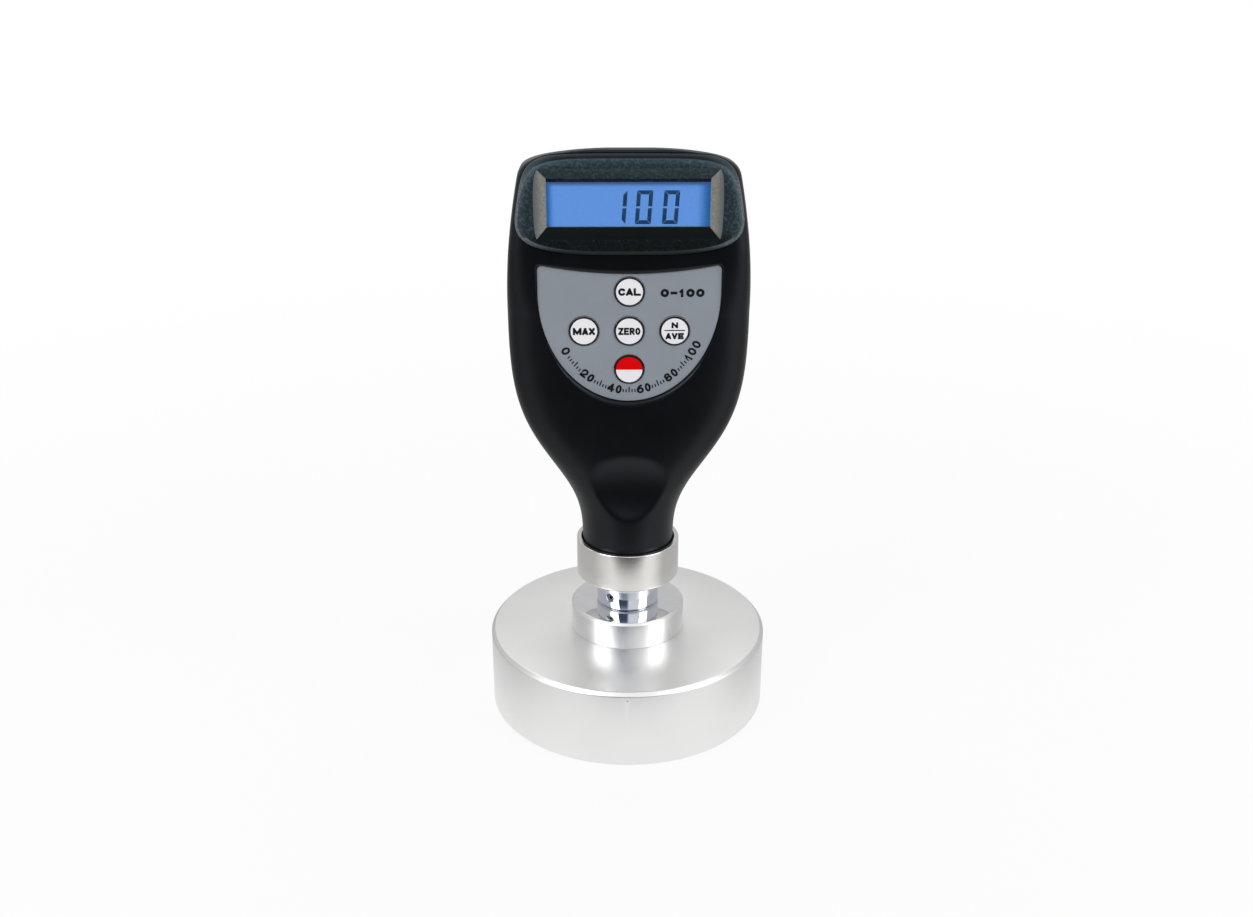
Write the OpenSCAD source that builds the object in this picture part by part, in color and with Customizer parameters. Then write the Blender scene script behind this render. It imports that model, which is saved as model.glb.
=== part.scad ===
// Durometer for sponge and soft foam: a hand-held digital gauge on a wide pressure foot.
// Millimetres, +Z up. The origin is the centre of the foot's underside, and the display faces -Y.
// The indenter is drawn pressed flush with the foot, as it is when the gauge stands on a table.

/* [Pressure foot] */
// Diameter of the pressure foot
foot_d = 80; // [70:1:100]
// Height of the pressure foot
foot_h = 23; // [20:0.5:30]
// Chamfer round the upper edge of the foot
foot_chamfer = 1; // [0.4:0.1:2]
// Chamfer round the lower edge of the foot
foot_lower_chamfer = 0.5; // [0.2:0.1:1]

/* [Indenter and plunger] */
// Diameter of the flat indenter
indenter_d = 25.2; // [20:0.1:28]
// Thickness of the indenter
indenter_h = 4; // [3:0.1:5]
// Travel from the zero reading to flush with the foot
indenter_travel = 2.54; // [1:0.01:3]
// Gap round the indenter in its recess
indenter_gap = 0.4; // [0.2:0.05:0.8]
// Diameter of the plunger rod
rod_d = 5; // [4:0.1:6]
// Diameter of the shoulder that the spring pushes on
shoulder_d = 10; // [9:0.1:11]
// Thickness of that shoulder
shoulder_h = 3; // [2:0.1:4]
// Outside diameter of the bush in the foot
bush_d = 10; // [8:0.1:14]

/* [Hub and sleeve] */
// Diameter of the hub on the foot
hub_d = 32; // [28:0.5:40]
// Height of the hub
hub_h = 8; // [7:0.5:12]
// Chamfer round the upper edge of the hub
hub_chamfer = 0.7; // [0.3:0.1:1.2]
// Diameter of the spigot that joins the hub to the foot
spigot_d = 20; // [16:0.5:26]
// Length of that spigot
spigot_h = 3; // [2:0.5:5]
// Diameter of the polished sleeve
sleeve_d = 17.8; // [17:0.1:20]
// Height of the sleeve that shows between hub and collar
sleeve_h = 9.2; // [7:0.1:14]
// Diameter of the sleeve's tail in the hub
tail_d = 14; // [13:0.1:16]
// Length of that tail
tail_h = 6; // [4:0.5:6.5]
// Diameter of the sleeve's tube in the neck
tube_d = 16; // [15:0.1:16.5]
// Length of the tube above the collar's floor
tube_h = 18; // [16:0.5:22]
// Bore of the sleeve, where the spring sits
well_d = 12; // [11.6:0.1:12.6]
// Diameter of the flange that the case halves hold
flange_d = 20; // [18:0.5:22]
// Diameter of the set screw in the sleeve
set_screw_d = 2.2; // [1.6:0.1:2.6]
// Turn of the set screw from the front, towards the left
set_screw_turn = 36; // [0:1:90]

/* [Collar] */
// Diameter of the collar round the neck
collar_d = 29.2; // [28.6:0.1:34]
// Height of the collar
collar_h = 11.2; // [8:0.1:16]
// Wall of the collar
collar_wall = 1.3; // [0.8:0.1:1.4]
// Floor of the collar, under the neck
collar_floor = 2; // [1:0.1:3]

/* [Load spring] */
// Wire of the load spring
spring_wire = 0.8; // [0.5:0.05:1]
// Mean diameter of the load spring
spring_d = 7.4; // [7:0.1:8]
// Turns of the load spring
spring_turns = 7; // [4:1:8]
// Height of the threaded adjuster above the spring
adjuster_h = 7; // [5:0.5:9]

/* [Sensor] */
// Diameter of the sensor housing
sensor_d = 14; // [13:0.1:14.6]
// Height of the sensor housing
sensor_h = 20; // [16:0.5:22]
// Wall of the sensor housing
sensor_wall = 1; // [0.8:0.1:1.4]
// Length of the core on the plunger
core_h = 11; // [8:0.5:13]

/* [Handle] */
// Greatest width of the handle
case_w = 64.5; // [62:0.5:72]
// Height of the handle above the collar's floor
case_h = 119.8; // [118:0.2:128]
// Depth of the handle in front of the parting line
case_front = 12; // [11.6:0.1:13]
// Depth of the handle behind the parting line
case_back = 14; // [13.8:0.1:16]
// Wall of the handle
case_wall = 2; // [1.6:0.1:2.4]
// Diameter of the round neck
neck_d = 25.8; // [25:0.1:26]
// Length of the straight neck
neck_l = 10; // [9.5:0.5:13]
// Drop from the top to the widest point
crown_l = 43; // [38:0.5:48]
// Narrowing of each side between the widest point and the top corners
crown_taper = 3.4; // [2.5:0.1:4]
// Height of the rounded top
top_round_h = 7.7; // [6:0.1:9]
// Height of the sloping top of the back
back_round_h = 15; // [12:0.5:18]
// Fall of the top towards the back, as a share of its depth
top_lean = 0.18; // [0.1:0.01:0.22]
// Squareness of the handle's section at its widest point
case_square = 4.2; // [3.6:0.1:5]
// Squareness of the section behind the display
display_square = 8; // [7:0.5:10]

/* [Thumb dimple] */
// Height of the dimple's centre above the collar's floor
dimple_rise = 29.3; // [28:0.1:32]
// Half height of the dimple
dimple_reach = 9.3; // [8:0.1:10]
// Half width of the dimple
dimple_half_w = 10; // [8.5:0.1:11]
// Depth of the dimple
dimple_depth = 2.4; // [1.6:0.1:2.6]

/* [Display] */
// Drop from the top of the handle to the middle of the bezel
bezel_drop = 12.8; // [12.7:0.1:14]
// Height of the screen's middle above the middle of the bezel
screen_rise = 0.6; // [0:0.1:0.8]
// Width of the visible screen
screen_w = 41.4; // [36:0.1:42]
// Height of the visible screen
screen_h = 12.2; // [10:0.1:12.6]
// Width of the bevel on each side of the screen
bevel_side = 3.1; // [2:0.1:3.2]
// Width of the bevel above and below the screen
bevel_end = 2.8; // [1.5:0.1:3]
// Depth of the bevel
bevel_depth = 1.3; // [0.8:0.1:1.6]
// Height of the bezel
bezel_h = 25.8; // [25:0.1:25.9]
// Distance of the bezel's edge from the side of the handle
bezel_inset = 1.1; // [1:0.1:1.6]
// How far the bezel stands in front of the handle
bezel_proud = 2; // [1.6:0.1:2.6]
// Rounding of the bezel's front edge
bezel_round = 1.8; // [1:0.1:2.2]
// Thickness of the clear window
window_t = 2; // [1.4:0.1:2.2]
// Thickness of the liquid crystal panel
lcd_t = 2.6; // [2:0.1:2.8]

/* [Keypad] */
// Width of the keypad panel
pad_w = 47.2; // [44:0.1:49]
// Height of the panel's rounded lower part
pad_bowl_h = 29.6; // [27:0.1:31]
// Height of the panel's straight sides
pad_side_h = 7.4; // [5:0.1:8]
// Dip of the panel's upper edge at the middle
pad_dip = 2.2; // [0.5:0.1:2.6]
// Space between the bezel and the panel's upper corners
pad_drop = 3; // [2.6:0.1:4]
// Thickness of the panel
pad_t = 0.8; // [0.6:0.1:1]
// Depth of the panel's face below the front of the handle
pad_recess = 1; // [0.6:0.1:1.2]
// Diameter of a button
button_d = 7.8; // [7:0.1:8.2]
// Gap round a button
button_gap = 0.25; // [0.15:0.05:0.3]
// How far a button stands in front of the panel
button_proud = 0.4; // [0.2:0.1:0.8]
// Travel of a button
button_travel = 0.5; // [0.3:0.05:0.6]
// Sideways distance between buttons
button_pitch_x = 11.9; // [11.4:0.1:12.6]
// Upward distance between buttons
button_pitch_z = 10.6; // [10.6:0.1:11]
// Drop from the panel's upper corners to the middle row
button_row_drop = 17.5; // [17:0.1:18.5]

/* [Power] */
// Diameter of a cell
cell_d = 10.5; // [10:0.1:10.6]
// Length of a cell
cell_l = 44.5; // [40:0.5:45]
// Sideways distance between cells
cell_pitch = 10.8; // [10.7:0.05:10.9]
// Room for the contacts at each end of the cells
contact_room = 2.6; // [2.4:0.1:3]
// Thickness of the walls round the cells
bay_wall = 1.2; // [1:0.1:1.4]

/* [Fits] */
// Radial clearance of the plunger in its bush
run_fit = 0.05; // [0.02:0.01:0.08]
// Radial clearance of fixed pieces in their seats
seat_fit = 0.03; // [0.02:0.01:0.06]
// Gap round covers and panels
cover_gap = 0.15; // [0.1:0.05:0.25]

/* [Hidden] */
$fn = 64;
// How far a cut reaches past the face that it opens
over = 1;
cut_skin = 0.01;

// Levels up the axis
foot_top = foot_h;
hub_top = foot_top + hub_h;
sleeve_bottom = hub_top - tail_h;
collar_bottom = hub_top + sleeve_h;
neck_bottom = collar_bottom + collar_floor;
collar_top = collar_bottom + collar_h;
tube_top = neck_bottom + tube_h;
case_top = neck_bottom + case_h;
waist_z = neck_bottom + neck_l;
widest_z = case_top - crown_l;
crown_z = case_top - top_round_h;
bezel_z = case_top - bezel_drop;
bezel_bottom = bezel_z - bezel_h / 2;
display_z = bezel_z + screen_rise;

// Plunger
edge_break = 0.4;
recess_gap = 0.6;
recess_h = indenter_h + recess_gap;
rod_seat_h = 2;
rod_gap = 0.4;
rod_clear_r = rod_d / 2 + rod_gap;
sleeve_floor = 3;
stop_gap = 0.06;
shoulder_z = sleeve_bottom + sleeve_floor + indenter_travel + stop_gap;
adjuster_z = tube_top - adjuster_h;
sensor_floor = 1.5;
core_rise = 2;
core_z = tube_top + sensor_floor + core_rise;
coil_end = 1.2;
coil_neck = 0.8;
coil_gap = 0.6;
coil_short = 1;
coil_bore_r = rod_d / 2 + coil_gap;
coil_h = sensor_h - sensor_floor - coil_short;
coil_r = sensor_d / 2 - sensor_wall - seat_fit;

// Sleeve details
sleeve_chamfer = 0.6;
flange_h = 2.5;
flange_drop = 5.2;
flange_z = tube_top - flange_drop;
set_screw_rise = 3.6;
set_screw_z = hub_top + set_screw_rise;
set_screw_l = 2.2;
set_screw_sink = 0.5;

// Shape of the handle
neck_r = neck_d / 2;
flare_bias = 2.6;
flare_power = 2.15;
rim_square = 10;
lean_y = 3.5;
cap_reach = 1.01;
cavity_drop = 1;
cavity_bottom = tube_top - cavity_drop;
cavity_roof = 2.6;
cavity_top = case_top - cavity_roof;
skin_front = 3.4;
cavity_front = case_front - skin_front;
neck_skin = 0.8;
cavity_front_low = cavity_front - neck_skin;
half_points = 24;
cavity_points = 36;
flare_rings = 16;
crown_rings = 6;
cap_rings = 7;

// Keypad
pad_top = bezel_bottom - pad_drop;
pad_face = case_front - pad_recess;
pad_back = pad_face - pad_t;
pad_bowl_z = pad_top - pad_side_h;
pad_corner = 1.2;
pad_points = 28;
key_z = pad_top - button_row_drop;
button_lip = 1;
button_flange_d = button_d + 2 * button_lip;
button_flange_t = 0.7;
button_stem_d = 4;
button_slack = 0.1;
button_soft = 0.3;
switch_gap = 0.05;
button_stem_short = 2.6;
switch_top = cavity_front - button_stem_short - button_travel - switch_gap;
switch_w = 6;
switch_knob_h = 0.4;
switch_knob_d = 3.2;

// Stack behind the display, as depths in front of the parting line
pocket_sink = 2;
pocket_depth = case_front - pocket_sink;
bezel_face = case_front + bezel_proud;
bezel_points = 56;
bezel_square_top = 4.4;
bezel_square_low = 3.6;
window_lap = 1.3;
lcd_side_lap = 2.8;
lcd_end_lap = 2.1;
window_w = screen_w + 2 * window_lap;
window_h = screen_h + 2 * window_lap;
lcd_w = screen_w + 2 * lcd_side_lap;
lcd_h = screen_h + 2 * lcd_end_lap;
window_gap = 0.1;
lcd_front = pocket_depth - window_gap;
lcd_back = lcd_front - lcd_t;
board_front = 3;
board_t = 1.6;
board_back = board_front - board_t;
board_side_gap = 8.5;
board_w = case_w - 2 * board_side_gap;
connector_w = 1.2;
connector_in = 1.5;
connector_l = lcd_w - 2 * connector_in;
board_top = display_z + lcd_h / 2;
board_below_keys = 17;
board_bottom = key_z - board_below_keys;

// Cell bay
cell_y = 6.2;
bay_floor = -0.4;
bay_floor_t = 1;
bay_slack = 0.4;
bay_in_w = 4 * cell_pitch + bay_slack;
bay_w = bay_in_w + 2 * bay_wall;
bay_in_h = cell_l + 2 * contact_room;
bay_rise = 5.5;
bay_z = key_z + bay_rise;
bay_low = bay_z - bay_in_h / 2;
bay_high = bay_z + bay_in_h / 2;
cover_t = 2.4;
cover_side_lap = 0.7;
cover_seat = case_back - cover_t;
cover_w = bay_in_w + 2 * cover_side_lap;
cover_lap = 0.4;
cover_low = bay_low - cover_lap;
cover_high = bay_high + cover_lap;
tongue_w = 4;
tongue_t = 1.6;
tongue_reach = 2.2;
tongue_root = 1.4;
scoop_w = 14;
scoop_r = 4;
scoop_out = 2.6;
tongue_gap = 0.3;
tongue_swing = 1.6;
tongue_skin = 0.2;
contact_t = 0.4;
contact_w = 6;
cell_spring_d = 4.2;
cell_spring_wire = 0.5;
pole_d = 3.8;
pole_h = 0.8;
cell_edge = 0.4;

// Screws
screw_d = 2.4;
screw_head_d = 4.6;
screw_head_h = 1.8;
screw_slot_w = 0.6;
screw_slot_l = 2.8;
screw_slot_h = 1;
head_gap = 0.3;
screw_sink = 5;
screw_seat = case_back - screw_sink;
screw_short = 1.6;
screw_reach = cavity_front - screw_short;
boss_d = 5.6;
boss_sink = 0.6;
tip_gap = 0.3;
upper_screw_in = 5.5;
upper_screw_drop = 0.9;
lower_screw_in = 8.1;
lower_screw_drop = 12.4;
lower_screw_z = bay_low - lower_screw_drop;
upper_screw = [case_w / 2 - upper_screw_in, bezel_bottom - upper_screw_drop];
lower_screw = [half_width(lower_screw_z) - lower_screw_in, lower_screw_z];
case_screw_points = [for (p = [upper_screw, lower_screw], side = [-1, 1]) [side * p[0], p[1]]];
board_screw_d = 1.9;
board_screw_short = 0.8;
board_screw_tip = cavity_front - board_screw_short;
board_head_d = 3.6;
board_head_h = 0.8;
board_boss_d = 4.6;
board_screw_in = 3;
board_screw_x = board_w / 2 - board_screw_in;
board_screw_lift = 0.4;
board_screw_rise = 4;
board_screw_levels = [bezel_bottom + board_screw_lift, board_bottom + board_screw_rise];
board_screw_points = [for (side = [-1, 1], z = board_screw_levels) [side * board_screw_x, z]];

// Button centres as [across, up]
calibrate_at = [0, key_z + button_pitch_z];
max_at = [-button_pitch_x, key_z];
zero_at = [0, key_z];
average_at = [button_pitch_x, key_z];
power_at = [0, key_z - button_pitch_z];
button_points = [calibrate_at, max_at, zero_at, average_at, power_at];

// Curves of the handle. Flare rises from 0 at the waist to 1 at the widest point.
function flare(t) = t <= 0 ? 0 : t >= 1 ? 1 :
    flare_bias * pow(t, flare_power) / (flare_bias * pow(t, flare_power) + pow(1 - t, flare_power));
function rise(z) = flare((z - waist_z) / (widest_z - waist_z));
function crown(z) = max(0, (z - widest_z) / (crown_z - widest_z));
function cap(z, height, p, q) =
    z <= case_top - height ? 1 : pow(1 - pow((z - case_top + height) / (height * cap_reach), p), 1 / q);
function side_r(z) = neck_r + (case_w / 2 - neck_r) * rise(z) - crown_taper * pow(crown(z), 2);
function half_width(z) = side_r(z) * cap(z, top_round_h, 3.2, 2.4);
function front_r(z) = (neck_r + (case_front - neck_r) * rise(z)) * cap(z, top_round_h, rim_square, rim_square);
function back_r(z) = (neck_r + (case_back - neck_r) * rise(z)) * cap(z, back_round_h, 2, 2);
function squareness(z) = 2 + (case_square - 2) * rise(z)
    + (display_square - case_square) * min(1, crown(z) * 2);
function cavity_front_r(z) = cavity_front_low + (cavity_front - cavity_front_low) * rise(z);
// Leans the top of a ring, which rises towards the front and falls towards the back
function lean(p) = [p[0], p[1], p[2] - top_lean * (p[1] + lean_y) * max(0, p[2] - crown_z) / top_round_h];

function signed_pow(v, p) = sign(v) * pow(abs(v), p);
function ring(z, half_w, front, back, e, from, to, count) = [for (i = [0:count - 1])
    let (a = from + (to - from) * i / count, s = sin(a))
    [half_w * signed_pow(cos(a), 2 / e), (s < 0 ? front : back) * signed_pow(s, 2 / e), z]];

// Heights of the rings of the handle, close together where it curves most
case_rings = concat([neck_bottom],
    [for (i = [0:flare_rings]) waist_z + (widest_z - waist_z) * i / flare_rings],
    [for (i = [1:crown_rings]) widest_z + (crown_z - widest_z) * i / crown_rings],
    [for (i = [1:cap_rings]) crown_z + top_round_h * sin(90 * i / cap_rings)]);
cavity_rings = concat([for (i = [0:12]) cavity_bottom + (widest_z - cavity_bottom) * i / 12],
    [for (i = [1:5]) widest_z + (crown_z - widest_z) * i / 5],
    [for (i = [1:3]) crown_z + (cavity_top - crown_z) * sin(90 * i / 3)]);

// Skins a stack of rings that all turn the same way
module loft(rings) {
    count = len(rings[0]);
    last = len(rings) - 1;
    polyhedron(points = [for (r = rings) each r], faces = concat(
        [[for (i = [0:count - 1]) i]],
        [[for (i = [count - 1:-1:0]) last * count + i]],
        [for (r = [0:last - 1], i = [0:count - 1]) let (j = (i + 1) % count)
            [r * count + i, (r + 1) * count + i, (r + 1) * count + j, r * count + j]]));
}

// Half of the handle's outer form, from angle to angle round the axis
module half_handle(from) {
    loft([for (z = case_rings) let (e = squareness(z)) [for (p = concat(
        ring(z, half_width(z), front_r(z), back_r(z), e, from, from + 180, half_points),
        [[half_width(z) * cos(from + 180), 0, z]])) lean(p)]]);
}

// Hollow of the handle. Its front is flat, so that the panels in front have an even wall.
module handle_cavity() {
    loft([for (z = cavity_rings) [for (p = ring(z, half_width(z) - case_wall, cavity_front_r(z),
        back_r(z) - case_wall, squareness(z), 0, 360, cavity_points)) lean(p)]]);
}

// Places a shape drawn across and up, between two depths in front of the parting line
module facing(near, far) {
    rotate([90, 0, 0]) translate([0, 0, near]) linear_extrude(far - near) children();
}

// A revolved profile of [radius, height] points
module turned(profile) {
    rotate_extrude() polygon(profile);
}

// A round pin along Y at [across, up], between two depths
module pin_y(at, d, near, far) {
    translate([at[0], 0, at[1]]) rotate([90, 0, 0]) translate([0, 0, near]) cylinder(d = d, h = far - near);
}

// A coil of round wire along Z, whose end turns lie close
module coil(mean_d, wire, turns, height) {
    sides = 6;
    per_turn = 9;
    loft([for (k = [0:per_turn * (turns + 2)]) let (
        turn = k / per_turn,
        lift = turn <= 1 ? turn * wire : turn >= turns + 1 ? height - wire - (turns + 2 - turn) * wire :
            wire + (turn - 1) / turns * (height - 3 * wire))
        [for (i = [0:sides - 1]) let (a = -360 * i / sides, out = mean_d / 2 + wire / 2 * cos(a))
            [out * cos(360 * turn), out * sin(360 * turn), wire / 2 + lift + wire / 2 * sin(a)]]]);
}

// Outline of the keypad panel, grown by a margin
module pad_outline(grow = 0) {
    half = pad_w / 2 + grow;
    bowl = pad_bowl_h + grow;
    top = pad_top + grow;
    dip_steps = 8;
    polygon(concat(
        [for (i = [0:pad_points]) let (a = 180 + 180 * i / pad_points)
            [half * cos(a), pad_bowl_z + bowl * sin(a)]],
        [for (i = [0:4]) let (a = 90 * i / 4)
            [half - pad_corner + pad_corner * cos(a), top - pad_corner + pad_corner * sin(a)]],
        [for (i = [1:dip_steps - 1]) let (t = 1 - 2 * i / dip_steps)
            [(half - pad_corner) * t, top - pad_dip * (1 - t * t)]],
        [for (i = [0:4]) let (a = 90 + 90 * i / 4)
            [-half + pad_corner + pad_corner * cos(a), top - pad_corner + pad_corner * sin(a)]]));
}

// Outline of the bezel as [across, up] points, drawn in by an inset
function bezel_outline(inset, count) = [for (i = [0:count - 1]) let (
    a = 360 * i / count,
    q = 2 / (sin(a) < 0 ? bezel_square_low : bezel_square_top),
    z = bezel_z + (bezel_h / 2 - inset) * signed_pow(sin(a), q))
    [(side_r(z) - bezel_inset - inset) * signed_pow(cos(a), q), z]];

// Pressure foot: a turned disc with the indenter's recess below and the hub's seat above
module pressure_foot() {
    r = foot_d / 2;
    recess_r = indenter_d / 2 + indenter_gap;
    seat_z = foot_top - spigot_h;
    color("gainsboro") turned([[recess_r, 0], [r - foot_lower_chamfer, 0], [r, foot_lower_chamfer],
        [r, foot_top - foot_chamfer], [r - foot_chamfer, foot_top], [spigot_d / 2, foot_top],
        [spigot_d / 2, seat_z], [bush_d / 2 + seat_fit, seat_z], [bush_d / 2 + seat_fit, recess_h],
        [recess_r, recess_h]]);
}

// Hub: a turned boss with a spigot in the foot and a socket for the sleeve
module foot_hub() {
    r = hub_d / 2;
    low = foot_top - spigot_h;
    socket_r = tail_d / 2 + seat_fit;
    spigot_r = spigot_d / 2 - seat_fit;
    color("silver") turned([[rod_clear_r, low], [spigot_r, low], [spigot_r, foot_top], [r, foot_top],
        [r, hub_top - hub_chamfer], [r - hub_chamfer, hub_top], [socket_r, hub_top],
        [socket_r, sleeve_bottom], [rod_clear_r, sleeve_bottom]]);
}

// Places a radial shape at the set screw, pointing outward along +X
module at_set_screw() {
    rotate([0, 0, 270 - set_screw_turn]) translate([0, 0, set_screw_z]) rotate([0, 90, 0]) children();
}

// Sleeve: the polished tube that carries the spring and joins hub, collar and neck
module probe_sleeve() {
    r = sleeve_d / 2;
    floor_z = sleeve_bottom + sleeve_floor;
    color("lightsteelblue") difference() {
        turned([[rod_clear_r, sleeve_bottom], [tail_d / 2, sleeve_bottom], [tail_d / 2, hub_top],
            [r - sleeve_chamfer, hub_top], [r, hub_top + sleeve_chamfer], [r, collar_bottom],
            [tube_d / 2, collar_bottom], [tube_d / 2, flange_z], [flange_d / 2, flange_z],
            [flange_d / 2, flange_z + flange_h], [tube_d / 2, flange_z + flange_h],
            [tube_d / 2, tube_top], [well_d / 2, tube_top], [well_d / 2, floor_z], [rod_clear_r, floor_z]]);
        at_set_screw() cylinder(d = set_screw_d + 2 * seat_fit, h = r + 1, $fn = 32);
    }
}

// Set screw: a headless screw with a hexagon socket, a little below the sleeve's surface
module sleeve_set_screw() {
    outer = sleeve_d / 2 - set_screw_sink;
    color("dimgray") difference() {
        at_set_screw() translate([0, 0, outer - set_screw_l])
            cylinder(d = set_screw_d, h = set_screw_l, $fn = 32);
        at_set_screw() translate([0, 0, outer - 1]) cylinder(d = set_screw_d / 2, h = 2, $fn = 6);
    }
}

// Collar: a turned cup that holds the two case halves together at the neck
module probe_collar() {
    r = collar_d / 2;
    hole_r = tube_d / 2 + seat_fit;
    color("silver") turned([[hole_r, collar_bottom], [r - edge_break, collar_bottom],
        [r, collar_bottom + edge_break], [r, collar_top - edge_break / 2], [r - edge_break / 2, collar_top],
        [r - collar_wall, collar_top], [r - collar_wall, neck_bottom], [hole_r, neck_bottom]]);
}

// Indenter: the flat disc that presses into the foam
module indenter() {
    r = indenter_d / 2;
    seat_r = rod_d / 2 + seat_fit;
    seat_z = indenter_h - rod_seat_h;
    color("lightgray") turned([[0, 0], [r - edge_break, 0], [r, edge_break], [r, indenter_h],
        [seat_r, indenter_h], [seat_r, seat_z], [0, seat_z]]);
}

// Plunger rod, with the shoulder that the load spring pushes down on
module plunger_rod() {
    low = indenter_h - rod_seat_h;
    r = rod_d / 2;
    color("darkgray") turned([[0, low], [r, low], [r, shoulder_z], [shoulder_d / 2, shoulder_z],
        [shoulder_d / 2, shoulder_z + shoulder_h], [r, shoulder_z + shoulder_h], [r, core_z], [0, core_z]]);
}

// Bush that guides the plunger in the foot
module lower_bush() {
    color("goldenrod") turned([[rod_d / 2 + run_fit, recess_h], [bush_d / 2, recess_h],
        [bush_d / 2, foot_top - spigot_h], [rod_d / 2 + run_fit, foot_top - spigot_h]]);
}

// Load spring between the plunger's shoulder and the adjuster
module load_spring() {
    low = shoulder_z + shoulder_h;
    color("slategray") translate([0, 0, low]) coil(spring_d, spring_wire, spring_turns, adjuster_z - low);
}

// Adjuster: the slotted ring in the top of the sleeve that sets the spring and guides the rod
module spring_adjuster() {
    slot_w = 1.4;
    slot_h = 1.5;
    color("goldenrod") difference() {
        turned([[rod_d / 2 + run_fit, adjuster_z], [well_d / 2 - seat_fit, adjuster_z],
            [well_d / 2 - seat_fit, tube_top], [rod_d / 2 + run_fit, tube_top]]);
        translate([-well_d / 2, -slot_w / 2, tube_top - slot_h]) cube([well_d, slot_w, slot_h + 1]);
    }
}

// Sensor housing: a cup on the sleeve, round the sensing coil
module sensor_housing() {
    r = sensor_d / 2;
    color("black") turned([[rod_clear_r, tube_top], [r, tube_top], [r, tube_top + sensor_h],
        [r - sensor_wall, tube_top + sensor_h], [r - sensor_wall, tube_top + sensor_floor],
        [rod_clear_r, tube_top + sensor_floor]]);
}

// Sensing coil: a wound bobbin whose ends stand out past the winding
module sensor_coil() {
    low = tube_top + sensor_floor;
    high = low + coil_h;
    color("peru") turned([[coil_bore_r, low], [coil_r, low], [coil_r, low + coil_end],
        [coil_r - coil_neck, low + coil_end], [coil_r - coil_neck, high - coil_end],
        [coil_r, high - coil_end], [coil_r, high], [coil_bore_r, high]]);
}

// Core that the plunger carries up into the coil
module sensor_core() {
    color("darkslategray") translate([0, 0, core_z]) cylinder(d = rod_d, h = core_h);
}

// Bores of the neck for the sleeve, its flange and the sensor
module neck_bores() {
    translate([0, 0, neck_bottom - 1]) cylinder(d = tube_d + 2 * seat_fit, h = tube_h + 2);
    translate([0, 0, flange_z - seat_fit]) cylinder(d = flange_d + 2 * seat_fit, h = flange_h + 2 * seat_fit);
}

// Thumb dimple: a barrel cut, wider across than up, tangent to its deepest point
module thumb_dimple() {
    z = neck_bottom + dimple_rise;
    fall = front_r(z) * (1 - pow(1 - pow(dimple_half_w / half_width(z), squareness(z)), 1 / squareness(z)));
    sag = dimple_depth - fall;
    up_r = (pow(dimple_reach, 2) + pow(dimple_depth, 2)) / (2 * dimple_depth);
    across_r = (pow(dimple_half_w, 2) + pow(sag, 2)) / (2 * sag);
    translate([0, dimple_depth - front_r(z) - across_r, z]) rotate_extrude() intersection() {
        translate([across_r - up_r, 0]) circle(r = up_r, $fn = 96);
        translate([0, -up_r]) square([across_r + 1, 2 * up_r]);
    }
}

// Front case: display wall, keypad seat, thumb dimple and screw bosses
module front_case() {
    color("#17191b") difference() {
        union() {
            difference() {
                half_handle(180);
                handle_cavity();
            }
            for (p = case_screw_points) pin_y(p, boss_d, 0, cavity_front + boss_sink);
            for (p = board_screw_points) pin_y(p, board_boss_d, board_front, cavity_front + boss_sink);
        }
        facing(pocket_depth, bezel_face + over) polygon(bezel_outline(-cover_gap, bezel_points));
        facing(lcd_back, case_front) translate([0, display_z])
            square([lcd_w + 2 * cover_gap, lcd_h + 2 * cover_gap], center = true);
        facing(pad_back, case_front + over) pad_outline(cover_gap);
        for (p = button_points) pin_y(p, button_flange_d + 4 * button_gap, cavity_front - over, case_front);
        for (p = case_screw_points) pin_y(p, screw_d + 2 * seat_fit, -over, screw_reach + tip_gap);
        for (p = board_screw_points)
            pin_y(p, board_screw_d + 2 * seat_fit, board_front - over, board_screw_tip + tip_gap);
        thumb_dimple();
        neck_bores();
    }
}

// Rear case: back wall with the cell bay, its cover seat and the screw bosses
module rear_case() {
    color("#141618") difference() {
        union() {
            difference() {
                half_handle(0);
                handle_cavity();
            }
            for (p = case_screw_points) pin_y(p, boss_d, -screw_seat - screw_head_h, 0);
            cell_bay();
        }
        cover_seat_cut();
        for (p = case_screw_points) {
            pin_y(p, screw_d + 4 * seat_fit, -case_back, over);
            pin_y(p, screw_head_d + 2 * head_gap, -case_back - over, -screw_seat);
        }
        neck_bores();
    }
}

// Box that holds the cells, open to the back
module cell_bay() {
    difference() {
        translate([-bay_w / 2, bay_floor, bay_low - bay_wall])
            cube([bay_w, cover_seat - bay_floor, bay_in_h + 2 * bay_wall]);
        translate([-bay_in_w / 2, bay_floor + bay_floor_t, bay_low]) cube([bay_in_w, case_back, bay_in_h]);
    }
}

// Opening for the battery cover, with its tongue slots and a fingertip scoop
module cover_seat_cut() {
    translate([-cover_w / 2 - cover_gap, cover_seat, cover_low - cover_gap])
        cube([cover_w + 2 * cover_gap, case_back, cover_high - cover_low + 2 * cover_gap]);
    for (side = [-1, 1]) translate([side * cell_pitch - tongue_w / 2 - tongue_gap,
        cover_seat - tongue_t - tongue_swing, cover_low - tongue_reach - bay_wall])
            cube([tongue_w + 2 * tongue_gap, tongue_t + tongue_swing, tongue_reach + 2 * bay_wall]);
    translate([-scoop_w / 2, case_back + scoop_out, cover_high]) rotate([0, 90, 0])
        cylinder(r = scoop_r, h = scoop_w);
}

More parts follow.
